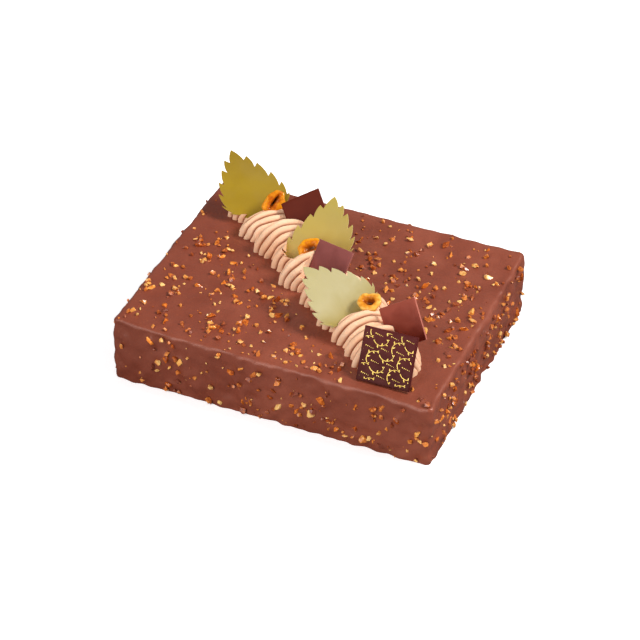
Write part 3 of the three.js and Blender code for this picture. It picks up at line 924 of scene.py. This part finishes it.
def add_chip(bm, place, random, tone, layers, worn):
    """A chopped bit, sized and laid as the CAD has it, with its edges a little worn."""
    chip = bmesh.new()
    for corner in chip_corners(random):
        chip.verts.new(corner)
    hull = bmesh.ops.convex_hull(chip, input=list(chip.verts))
    loose = {item for key in ("geom_interior", "geom_unused") for item in hull[key]}
    bmesh.ops.delete(chip, geom=[v for v in loose if isinstance(v, bmesh.types.BMVert)], context="VERTS")
    if worn:
        round_edges(chip, list(chip.edges), CHIP_CORNERS["worn"], 1)
    centre = place["spot"] + place["out"] * (CHIPS["stand"] * place["radius"])
    size = CHIP_CORNERS["size"]
    washed = (place["out"] + any_way(random) * CHIP_KINDS["wash_lean"]).normalized()
    copies = {}
    for vertex in chip.verts:
        point = vertex.co.copy()
        point.x += place["skew"] * point.y * point.y
        offset = place["shape"] @ point * size
        copy = bm.verts.new(centre + offset)
        copy[layers["tone"]] = tone
        copy[layers["bareness"]] = 0.5 + 0.5 * offset.dot(washed) / place["radius"]
        copies[vertex] = copy
    for face in chip.faces:
        bm.faces.new([copies[vertex] for vertex in face.verts])
    chip.free()


def nut_scatter(name, places, seed, material, worn):
    bm = bmesh.new()
    layers = {key: bm.verts.layers.float.new(key) for key in ("tone", "bareness")}
    random = random_stream(seed)
    for place in places:
        add_chip(bm, place, random, random(), layers, worn)
    bmesh.ops.recalc_face_normals(bm, faces=bm.faces)
    make_piece(name, bm, material, "cake", sharp_angle=20)


def nut_chips(chips, glaze, bare, half):
    random = random_stream(CHIP_KINDS["seed"])
    kinds = {"bare": [], "half": [], "coated": []}
    for place in chips:
        luck = random()
        kind = "bare" if luck < CHIP_KINDS["bare"] else "half" if luck < CHIP_KINDS["half"] else "coated"
        kinds[kind].append(place)
    nut_scatter("bare_nut_chips", kinds["bare"], CHIP_CORNERS["seed"], bare, True)
    nut_scatter("half_coated_nut_chips", kinds["half"], CHIP_CORNERS["seed"] + 1, half, True)
    nut_scatter("coated_nut_chips", kinds["coated"], CHIP_CORNERS["seed"] + 2, glaze, True)
    nut_scatter("nut_crumbs", crumb_places(chips), CHIP_CORNERS["seed"] + 3, half, False)


# ------------------------------------------------------------------ leaves


def leaf_notch(distance, half_width, width):
    lean = 1 - LEAF["turn_in"] * max(0.0, distance - LEAF["widest"])
    return Vector(((half_width - LEAF["notch"]) * width, distance + lean * LEAF["notch"]))


def leaf_edge(width):
    """One side of a leaf from tip to root, with its edge bellied out between the teeth."""
    tip = Vector((0, 0))
    rows = [(leaf_notch(y, x, width), Vector((x * width, y))) for y, x in LEAF["teeth"]]
    root = Vector((LEAF["root_half_width"] * width, LEAF["length"]))
    rows.append((root, Vector((0, LEAF["length"]))))
    edge = [tip]
    last = tip
    for notch, tooth in rows:
        middle = (last + notch) / 2 + Vector((LEAF["bulge"], 0))
        control = 2 * middle - (last + notch) / 2
        for step in range(1, LEAF["belly_steps"]):
            share = step / LEAF["belly_steps"]
            edge.append(last * (1 - share) ** 2 + control * (2 * share * (1 - share)) + notch * share**2)
        edge += [notch, tooth]
        last = tooth
    return edge


def grow_outline(outline, grow):
    """Moves a closed outline outwards, with its corners kept sharp."""
    moved = []
    for i, point in enumerate(outline):
        before = (point - outline[i - 1]).normalized()
        after = (outline[(i + 1) % len(outline)] - point).normalized()
        first = Vector((before.y, -before.x))
        second = Vector((after.y, -after.x))
        moved.append(point + (first + second) * grow / max(LEAF["sharpest"], 1 + first.dot(second)))
    return moved


def leaf_rise(x, y):
    wave = LEAF["wave"]
    fall = LEAF["curl"] * (y - LEAF["length"] / 2) ** 2
    return LEAF["fold"] * abs(x) - fall + wave["height"] * math.sin(wave["y"] * y + wave["x"] * x)


def leaf_mesh(leaf, cell, grow=0.0, over=0.0):
    """A leaf, or with grow the room that it needs in the cream, and over as much again above it."""
    side = leaf_edge(leaf["width"])
    outline = side + [Vector((-point.x, point.y)) for point in reversed(side[1:-1])]
    if grow > 0:
        outline = grow_outline(outline, -grow)
    bm = bmesh.new()
    bm.faces.new([bm.verts.new((point.x, point.y, 0)) for point in outline])
    reach = LEAF["cells_reach"] * leaf["width"]
    lines = [(Vector((x, 0, 0)), Vector((1, 0, 0))) for x in steps_between(-reach, reach, cell)]
    lines += [(Vector((0, y, 0)), Vector((0, 1, 0))) for y in steps_between(0, LEAF["length"], cell)]
    for place, across in lines:
        cut_by_plane(bm, place, across)
    bmesh.ops.solidify(bm, geom=list(bm.faces), thickness=1.0)
    bmesh.ops.recalc_face_normals(bm, faces=bm.faces)
    along = Vector(leaf["root"]) - Vector(leaf["tip"])
    stretch = along.length / LEAF["length"]
    middle = sum(vertex.co.z for vertex in bm.verts) / len(bm.verts)
    half = LEAF["thickness"] / 2 + grow
    layer = bm.verts.layers.float.new("along")
    for vertex in bm.verts:
        x, y, z = vertex.co
        up = half + over if z > middle else -half
        vertex[layer] = y / LEAF["length"]
        vertex.co = Vector((x, y * stretch, leaf_rise(x, y) + up))
    return bm, frame_of(leaf["tip"], leaf["side"], along)


def steps_between(low, high, pitch):
    """Even steps that take in 0 if it lies between the ends."""
    return [pitch * i for i in range(math.ceil(low / pitch), math.floor(high / pitch) + 1)]


def decorate_leaf(name, leaf, material):
    bm, place = leaf_mesh(leaf, LEAF["cell"])
    rim = [e for e in bm.edges if e.is_manifold and e.calc_face_angle() > RIM_ANGLE]
    round_edges(bm, rim, LEAF["rim"], 3)
    mark_rim(bm)
    bmesh.ops.transform(bm, matrix=place, verts=bm.verts)
    make_piece(name + "_moulded", bm, material, name, sharp_angle=50)


def mark_rim(bm):
    """Gives the vertices on the thin edge of a flat piece the value 1, and the rest 0."""
    layer = bm.verts.layers.float.new("rim")
    bm.normal_update()
    for vertex in bm.verts:
        vertex[layer] = smooth_step(*RIM_SLOPE, 1 - abs(vertex.normal.z))


# ------------------------------------------------------------------ chocolate plates and print


def plate_mesh(plate, cells, grow=0.0, over=0.0):
    bm = bmesh.new()
    bmesh.ops.create_cube(bm, size=1)
    if cells > 1:
        flat = [e for e in bm.edges if abs(e.verts[0].co.z - e.verts[1].co.z) < 0.5]
        bmesh.ops.subdivide_edges(bm, edges=flat, cuts=cells - 1, use_grid_fill=True)
    width, height = plate["width"], plate["height"]
    for vertex in bm.verts:
        x, y, z = vertex.co
        share_x = 2 * x * (width + 2 * grow) / width
        share_y = 2 * y * (height + 2 * grow) / height
        bow = plate["bow"] * (1 - share_x**2 - PLATE_TWIST * share_x * share_y)
        up = z * (plate["thickness"] + 2 * grow) + (over if z > 0 else 0)
        vertex.co = Vector((share_x * width / 2, share_y * height / 2, bow + up))
    bmesh.ops.translate(bm, vec=Vector((width / 2, -height / 2, 0)), verts=bm.verts)
    return bm, frame_of(plate["corner"], plate["right"], -Vector(plate["down"]))


def chocolate_plate(name, plate, material):
    bm, place = plate_mesh(plate, PLATE_CELLS)
    rim = [e for e in bm.edges if e.calc_face_angle(0) > RIM_ANGLE]
    round_edges(bm, rim, PLATE_EDGE, 3)
    own = PLATE_WEAR["by_name"] * len(name)
    for vertex in bm.verts:
        spot = Vector((vertex.co.x, vertex.co.y, own)) * PLATE_WEAR["rate"]
        edge = max(abs(vertex.co.x / plate["width"] - 0.5), abs(vertex.co.y / plate["height"] + 0.5))
        if edge > PLATE_WEAR["band"]:
            vertex.co.x += PLATE_WEAR["height"] * noise.noise(spot)
            vertex.co.y += PLATE_WEAR["height"] * noise.noise(spot + PLATE_WEAR["shift"])
    along = bm.verts.layers.float.new("along")
    for vertex in bm.verts:
        vertex[along] = -vertex.co.y / plate["height"]
    mark_rim(bm)
    bmesh.ops.transform(bm, matrix=place, verts=bm.verts)
    make_piece(name + "_cast", bm, material, name, sharp_angle=45)


def arc_strip(bm, start, heading, length, curl, width):
    """A thin curved line, and the places and headings along it."""
    cells = PRINT["line_cells"]
    grid = bmesh.ops.create_grid(bm, x_segments=cells, y_segments=1, size=1)["verts"]
    steps = []
    point = Vector(start)
    angle = heading
    for _ in range(cells + 1):
        steps.append((point.copy(), angle))
        point += Vector((math.cos(angle), math.sin(angle))) * length / cells
        angle += curl / cells
    for vertex in grid:
        share = (vertex.co.x + 1) / 2
        at, turned = steps[round(share * cells)]
        across = Vector((-math.sin(turned), math.cos(turned))) * vertex.co.y * width / 2
        across *= 1 - PRINT["line_thinning"] * share
        vertex.co = Vector((at.x + across.x, at.y + across.y, 0))
    return steps


def blade(bm, start, heading, length, width):
    """A small pointed leaf."""
    sides = PRINT["sides"]
    verts = bmesh.ops.create_circle(bm, cap_ends=True, segments=sides, radius=1)["verts"]
    for vertex in verts:
        share = (vertex.co.x + 1) / 2
        half = width / 2 * math.sin(math.pi * share) * (1 if vertex.co.y > 0 else -1)
        if abs(vertex.co.y) < 1e-4:
            half = 0
        forward = share * length
        x = start.x + forward * math.cos(heading) - half * math.sin(heading)
        y = start.y + forward * math.sin(heading) + half * math.cos(heading)
        vertex.co = Vector((x, y, 0))


def dot(bm, spot, radius):
    sides = PRINT["sides"]
    verts = bmesh.ops.create_circle(bm, cap_ends=True, segments=sides, radius=radius)["verts"]
    bmesh.ops.translate(bm, vec=spot.to_3d(), verts=verts)


def sprig(bm, start, heading, curl):
    """A curled line with blades to either side and a dot at its end."""
    steps = arc_strip(bm, start, heading, PRINT["sprig_length"], curl, PRINT["line"])
    for i in range(PRINT["blades"]):
        share = (i + PRINT["first_blade"]) / (PRINT["blades"] + 1)
        at, turned = steps[round(share * (len(steps) - 1))]
        lean = PRINT["blade_lean"] * (1 if i % 2 else -1)
        size = 1 - PRINT["blade_fall"] * i
        blade(bm, at, turned + lean, PRINT["blade_length"] * size, PRINT["blade_width"] * size)
    dot(bm, steps[-1][0], PRINT["dot_radius"])


def gold_print(plaque, material):
    """Rows of sprigs that lean left and right in turn, cut off at the plaque's margin."""
    bm = bmesh.new()
    width, height = plaque["width"], plaque["height"]
    rows = math.ceil(height / PRINT["row_pitch"]) + 1
    columns = math.ceil(width / PRINT["column_pitch"]) + 1
    for row in range(rows):
        for column in range(-1, columns):
            aside = (column + 0.5 * (row % 2)) * PRINT["column_pitch"]
            corner = PRINT["first_sprig"] + Vector((aside, -row * PRINT["row_pitch"]))
            way = 1 if (row + column) % 2 else -1
            heading = PRINT["sprig_heading"] + (0 if way > 0 else math.pi)
            start = corner if way > 0 else corner + PRINT["turned_back"]
            sprig(bm, start, heading, way * PRINT["sprig_curl"])
            for i in range(PRINT["dots_between"]):
                spot = corner + PRINT["first_dot"] + PRINT["dot_step"] * i
                dot(bm, spot, PRINT["dot_radius"] * (1 - PRINT["dot_fall"] * i))
    margin = PRINT["margin"]
    for place, across in (
        ((margin, 0, 0), (-1, 0, 0)), ((width - margin, 0, 0), (1, 0, 0)),
        ((0, -margin, 0), (0, 1, 0)), ((0, margin - height, 0), (0, -1, 0)),
    ):
        cut_by_plane(bm, place, across, clear=True)
    bmesh.ops.recalc_face_normals(bm, faces=bm.faces)
    bmesh.ops.solidify(bm, geom=list(bm.faces), thickness=PRINT["thickness"])
    bmesh.ops.recalc_face_normals(bm, faces=bm.faces)
    top = max(vertex.co.z for vertex in bm.verts)
    lift = plaque["thickness"] / 2 + PRINT["raise"] - top
    bmesh.ops.translate(bm, vec=Vector((0, 0, lift)), verts=bm.verts)
    place = frame_of(plaque["corner"], plaque["right"], -Vector(plaque["down"]))
    bmesh.ops.transform(bm, matrix=place, verts=bm.verts)
    make_piece("gold_print", bm, material, None, sharp_angle=30)


# ------------------------------------------------------------------ hazelnuts


def nut_profile(hollow):
    """Radius and height as shares, and how deep in the hollow each ring lies, from the back on."""
    rings = []
    for i in range(NUT["back_rings"] + 1):
        angle = math.pi / 2 * i / NUT["back_rings"]
        rings.append((math.sin(angle), -NUT["depth"] * math.cos(angle), 0.0))
    for i in range(1, NUT["rim_rings"] + 1):
        angle = math.pi * i / NUT["rim_rings"]
        share = (1 - math.cos(angle)) / 2
        rings.append((1 - share, NUT["rim"] * math.sin(angle), share * NUT["rim_depth"]))
    del rings[-1]
    for i in range(NUT["hollow_rings"]):
        share = (i + 1) / NUT["hollow_rings"]
        depth = NUT["rim_depth"] + (1 - NUT["rim_depth"]) * share
        rings.append((-share, -hollow * math.sin(math.pi / 2 * share), depth))
    return rings


def nut_mesh(half):
    """Half a nut: a domed back, a thick round rim, and a hollow that may be a slit."""
    bm = bmesh.new()
    chain = []
    layer = bm.verts.layers.float.new("depth")
    rings = nut_profile(half["hollow"])
    for number, (_, height, depth) in enumerate(rings):
        vertex = bm.verts.new((1 + number, 0, height))
        vertex[layer] = depth
        chain.append(vertex)
    edges = [bm.edges.new(pair) for pair in zip(chain, chain[1:])]
    bmesh.ops.spin(
        bm, geom=chain + edges, cent=(0, 0, 0), axis=(0, 0, 1), dvec=(0, 0, 0),
        angle=2 * math.pi, steps=NUT["steps"], use_merge=True,
    )
    mouth_turn = math.radians(half["mouth_turn"])
    for vertex in bm.verts:
        number = round(math.hypot(vertex.co.x, vertex.co.y)) - 1
        radius, height, _ = rings[number]
        angle = math.atan2(vertex.co.y, vertex.co.x)
        around = Vector((math.cos(angle), math.sin(angle), 0))
        mouth = mouth_radius(half["mouth"], angle - mouth_turn)
        if radius < 0:
            reach = mouth * (1 + radius)
        elif number > NUT["back_rings"]:
            reach = mouth + (1 - mouth) * radius
        else:
            reach = radius
        broad = around * NUT["wander_rate"] + Vector((0, 0, NUT["wander_shift"] + half["roll"]))
        uneven = 1 + half["wander"] * noise.noise(broad)
        fine = around * NUT["rough_rate"] + Vector((half["roll"], 0, height * NUT["rough_rise"]))
        x = reach * uneven * math.cos(angle) * NUT["half_length"]
        y = reach * uneven * math.sin(angle) * NUT["half_width"]
        z = height + NUT["rough"] * noise.noise(fine) * reach
        vertex.co = Vector((x, y, z))
    bmesh.ops.remove_doubles(bm, verts=bm.verts, dist=0.01)
    bmesh.ops.recalc_face_normals(bm, faces=bm.faces)
    return bm


def mouth_radius(mouth, angle):
    """Radius of an oval in a direction."""
    return mouth[0] * mouth[1] / math.hypot(mouth[1] * math.cos(angle), mouth[0] * math.sin(angle))


def nut_place(half):
    normal = Vector(half["facing"]).normalized()
    level = Vector((0, 0, 1)).cross(normal).normalized()
    return (
        frame_of(half["centre"], level, normal.cross(level))
        @ Matrix.Rotation(math.radians(half["roll"]), 4, "Z")
    )


def hazelnut(name, half, material):
    bm = nut_mesh(half)
    bmesh.ops.transform(bm, matrix=nut_place(half), verts=bm.verts)
    make_piece(name + "_half", bm, material, name, sharp_angle=60)


def nut_room(half):
    """What a nut leaves free in the cream: room for itself, and a dip above it."""
    bm = bmesh.new()
    bmesh.ops.create_uvsphere(bm, u_segments=24, v_segments=12, radius=1)
    for vertex in bm.verts:
        x, y, z = vertex.co
        up = z * (NUT["depth"] + GAP) if z < 0 else z * (NUT["lip"] + NUT["dip"])
        vertex.co = Vector((x * (NUT["half_length"] + GAP), y * (NUT["half_width"] + GAP), up))
    return bm, nut_place(half)


# ------------------------------------------------------------------ piped cream


def strip_point(along, across, z):
    cos, sin = math.cos(STRIP["turn"]), math.sin(STRIP["turn"])
    start = STRIP["start"]
    return Vector((start.x + along * cos - across * sin, start.y + along * sin + across * cos, z))


def lobe_narrowing(angle):
    if angle < 0:
        return 1 - LOBE["back_taper"] * (1 - math.cos(angle))
    front = math.sin(angle)
    return 1 - LOBE["front_taper"] * front - LOBE["front_closing"] * front ** LOBE["closing_power"]


def lobe_noise(rates, shift, number, arch, turn):
    """Noise over one lobe's skin that no other lobe shares."""
    by_arch, by_turn, by_lobe = rates
    return noise.noise(Vector((by_arch * arch, by_turn * turn, shift + by_lobe * number)))


def lobe_ridge(number, arch, turn):
    """1 on the crest of a ridge and 0 in the groove beside it."""
    ridges = LOBE["back_ridges"] if turn < 0 else LOBE["front_ridges"]
    wander = LOBE["ridge_wander"] * lobe_noise(LOBE["wander_rates"], 0, number, arch, turn)
    phase = abs(turn) * (ridges + 0.5) + wander * min(1, LOBE["steady_turn"] * abs(turn))
    return abs(math.cos(math.pi * phase)) ** LOBE["ridge_roundness"]


def lobe_point(number, arch, turn):
    """A point of a lobe's ridged skin. Arch runs over the strip, and turn from back to front."""
    station, girth, right_share, height_share = STRIP["lobes"][number]
    ridge = lobe_ridge(number, arch, turn)
    angle = turn * LOBE["spread"]
    length = LOBE["back_length"] if turn < 0 else LOBE["front_length"]
    narrowing = lobe_narrowing(angle)
    reach = LOBE["thickness"] * (math.cos(angle) - LOBE["ridge_depth"] * (1 - ridge))
    shift = LOBE["uneven_shift"]
    reach += LOBE["unevenness"] * lobe_noise(LOBE["uneven_rates"], shift, number, arch, turn)
    along = station + LOBE["slant"] * arch / math.pi + length * math.sin(angle)
    aside = math.cos(arch) * (right_share if math.cos(arch) < 0 else 1)
    half_width = max(LOBE["least"], LOBE["arch_half_width"] * narrowing + reach)
    height = max(LOBE["least"], LOBE["arch_height"] * narrowing + reach)
    across = STRIP["middle"] - girth * aside * half_width
    up = girth * height_share * math.sin(arch) * height
    return strip_point(along, across, CAKE["height"] + up)


def lobe_mesh(number):
    bm = bmesh.new()
    bmesh.ops.create_grid(bm, x_segments=LOBE["arch_cells"], y_segments=LOBE["turn_cells"], size=1)
    # How far into a groove each point lies, which the cream's colour turns into painted shade.
    groove = bm.verts.layers.float.new("groove")
    for vertex in bm.verts:
        share = (vertex.co.x + 1) / 2
        arch = -LOBE["overrun"] + (math.pi + 2 * LOBE["overrun"]) * share
        vertex[groove] = 1 - lobe_ridge(number, arch, vertex.co.y)
        vertex.co = lobe_point(number, arch, vertex.co.y)
    bottom = CAKE["height"] - LOBE["skirt"]
    border = [e for e in bm.edges if e.is_boundary]
    walls = bmesh.ops.extrude_edge_only(bm, edges=border)["geom"]
    for vertex in walls:
        if isinstance(vertex, bmesh.types.BMVert):
            vertex.co.z = min(bottom - LOBE["wall_drop"], vertex.co.z - 1)
    bmesh.ops.holes_fill(bm, edges=[e for e in bm.edges if e.is_boundary], sides=0)
    bmesh.ops.triangulate(bm, faces=[f for f in bm.faces if len(f.verts) > 4])
    bmesh.ops.recalc_face_normals(bm, faces=bm.faces)
    return bm


def scratch_object(name, bm):
    """A mesh in millimetres that is only there to be cut or to cut with."""
    mesh = bpy.data.meshes.new(name)
    bm.to_mesh(mesh)
    bm.free()
    thing = bpy.data.objects.new(name, mesh)
    bpy.context.scene.collection.objects.link(thing)
    return thing


def combine(thing, other, operation):
    """Adds another solid to a thing, or cuts it away."""
    modifier = thing.modifiers.new("combine", "BOOLEAN")
    modifier.operation = operation
    modifier.solver = "MANIFOLD"
    modifier.object = other
    graph = bpy.context.evaluated_depsgraph_get()
    mesh = bpy.data.meshes.new_from_object(thing.evaluated_get(graph))
    thing.modifiers.clear()
    old = thing.data
    thing.data = mesh
    bpy.data.meshes.remove(old)


def remove_thing(thing):
    mesh = thing.data
    bpy.data.objects.remove(thing)
    bpy.data.meshes.remove(mesh)


def world_box(thing):
    points = [vertex.co for vertex in thing.data.vertices]
    low = Vector(min(p[axis] for p in points) for axis in range(3))
    high = Vector(max(p[axis] for p in points) for axis in range(3))
    return low, high


def boxes_meet(first, second):
    return all(first[0][axis] < second[1][axis] and second[0][axis] < first[1][axis] for axis in range(3))


def cream_rooms(number):
    """The room that a lobe leaves for each piece on it."""
    rooms = []
    for leaf in LEAVES.values():
        over = LOBE["cut_away"] if number < leaf["presses"] else 0
        rooms.append(leaf_mesh(leaf, ROOM_CELLS["leaf"], GAP, over))
    for plate in PLATES.values():
        over = LOBE["cut_away"] if number < plate["presses"] else 0
        rooms.append(plate_mesh(plate, ROOM_CELLS["plate"], GAP, over))
    for half in NUTS.values():
        rooms.append(nut_room(half))
    things = []
    for bm, place in rooms:
        bmesh.ops.transform(bm, matrix=place, verts=bm.verts)
        things.append(scratch_object("room", bm))
    return things


def piped_cream(material):
    """The lobes in one skin, each cut back where a piece was pressed into it."""
    cream = None
    for number in range(len(STRIP["lobes"])):
        lobe = scratch_object("lobe", lobe_mesh(number))
        lobe_box = world_box(lobe)
        for room in cream_rooms(number):
            if boxes_meet(lobe_box, world_box(room)):
                combine(lobe, room, "DIFFERENCE")
            remove_thing(room)
        if cream is None:
            cream = lobe
        else:
            combine(cream, lobe, "UNION")
            remove_thing(lobe)
    bm = bmesh.new()
    bm.from_mesh(cream.data)
    remove_thing(cream)
    bottom = CAKE["height"] - LOBE["skirt"]
    cut = cut_by_plane(bm, (0, 0, bottom), (0, 0, -1), clear=True)
    bmesh.ops.holes_fill(bm, edges=[e for e in cut if isinstance(e, bmesh.types.BMEdge)], sides=0)
    bmesh.ops.triangulate(bm, faces=[f for f in bm.faces if len(f.verts) > 4])
    make_piece("piped_cream_lobes", bm, material, "piped_cream", sharp_angle=55)


# ------------------------------------------------------------------ floor, light and camera


def soft_light(name, towards, spread, brightness, colour):
    """A wide soft light, far off in a direction. Brightness is what it adds to a level surface."""
    data = bpy.data.lights.new(name, "SUN")
    direction = Vector(towards).normalized()
    data.angle = math.radians(spread)
    data.energy = brightness * math.pi / direction.z
    data.color = colour
    light = bpy.data.objects.new(name, data)
    light.rotation_euler = direction.to_track_quat("Z", "Y").to_euler()
    light.location = direction
    bpy.context.scene.collection.objects.link(light)


def studio():
    bm = bmesh.new()
    bmesh.ops.create_grid(bm, x_segments=1, y_segments=1, size=FLOOR_SIZE)
    mesh = bpy.data.meshes.new("floor")
    bm.to_mesh(mesh)
    bm.free()
    mesh.materials.append(floor_finish())
    floor = bpy.data.objects.new("floor", mesh)
    bpy.context.scene.collection.objects.link(floor)
    world = bpy.data.worlds.new("studio")
    bpy.context.scene.world = world
    world.use_nodes = True
    background = world.node_tree.nodes["Background"]
    background.inputs["Color"].default_value = (1.0, 1.0, 1.0, 1.0)
    background.inputs["Strength"].default_value = SKY
    for name, light in LIGHTS.items():
        soft_light(name, **light)
    view = bpy.context.scene.view_settings
    view.view_transform = "Standard"
    view.look = "None"


def camera():
    data = bpy.data.cameras.new("camera")
    data.lens = CAMERA["lens"]
    data.sensor_width = CAMERA["sensor"]
    data.clip_start = CAMERA["nearest"]
    data.clip_end = CAMERA["farthest"]
    item = bpy.data.objects.new("camera", data)
    item.location = CAMERA["location"]
    item.rotation_euler = Vector(CAMERA["forward"]).to_track_quat("-Z", "Y").to_euler()
    bpy.context.scene.collection.objects.link(item)
    bpy.context.scene.camera = item


# ------------------------------------------------------------------ the whole cake

# Colours at the tip, the middle, the root and the rim. The darker olive roots of leaf_middle and
# leaf_front are partly the leaf's own tint and partly painted shade under the hazelnut at the root.
LEAF_COLOURS = {
    "leaf_back": (srgb(148, 119, 18), srgb(160, 131, 24), srgb(160, 130, 24), srgb(216, 200, 106)),
    "leaf_middle": (srgb(180, 158, 74), srgb(184, 158, 74), srgb(172, 139, 46), srgb(232, 220, 146)),
    "leaf_front": (srgb(186, 174, 123), srgb(190, 178, 133), srgb(156, 134, 56), srgb(232, 224, 172)),
}
# Colours from the rim of the mouth down into the hole. The darkest colours, deep in the hole, are partly
# painted shade.
NUT_TONES = {
    "hazelnut_back": (srgb(230, 146, 22), srgb(192, 94, 6), srgb(120, 50, 8), srgb(60, 26, 10)),
    "hazelnut_middle": (srgb(240, 160, 26), srgb(206, 110, 10), srgb(146, 70, 12), srgb(78, 34, 12)),
    "hazelnut_front": (srgb(252, 196, 92), srgb(234, 148, 40), srgb(154, 70, 14), srgb(74, 30, 10)),
}
# Dark and light colours, the colour of the edge, and the least roughness. The light colour is a painted
# reflection and the edge colour a painted highlight, and the middle square's lighter, purplish colours
# stand in for a painted sheen.
PLATE_COLOURS_AND_SHEEN = {
    "chocolate_square_back": (srgb(82, 28, 19), srgb(96, 36, 24), srgb(124, 60, 46), 0.34),
    "chocolate_square_middle": (srgb(114, 58, 54), srgb(146, 82, 78), srgb(166, 102, 92), 0.3),
    "chocolate_square_front": (srgb(96, 28, 19), srgb(162, 80, 64), srgb(200, 122, 106), 0.32),
    "chocolate_plaque": (srgb(58, 12, 14), srgb(76, 20, 22), srgb(92, 38, 36), 0.3),
}


def royal_cake():
    glaze = glaze_finish()
    chips = chip_places()
    glazed_slab(chips, glaze)
    nut_chips(chips, glaze, bare_nut_finish(), half_coated_nut_finish())
    piped_cream(cream_finish())
    for name, leaf in LEAVES.items():
        decorate_leaf(name, leaf, leaf_finish(name + "_chocolate", *LEAF_COLOURS[name]))
    for name, half in NUTS.items():
        hazelnut(name, half, hazelnut_finish(name + "_flesh", *NUT_TONES[name]))
    for name, plate in PLATES.items():
        chocolate_plate(name, plate, chocolate_finish(name + "_skin", *PLATE_COLOURS_AND_SHEEN[name]))
    gold_print(PLATES["chocolate_plaque"], gold_finish())


camera()
studio()
royal_cake()
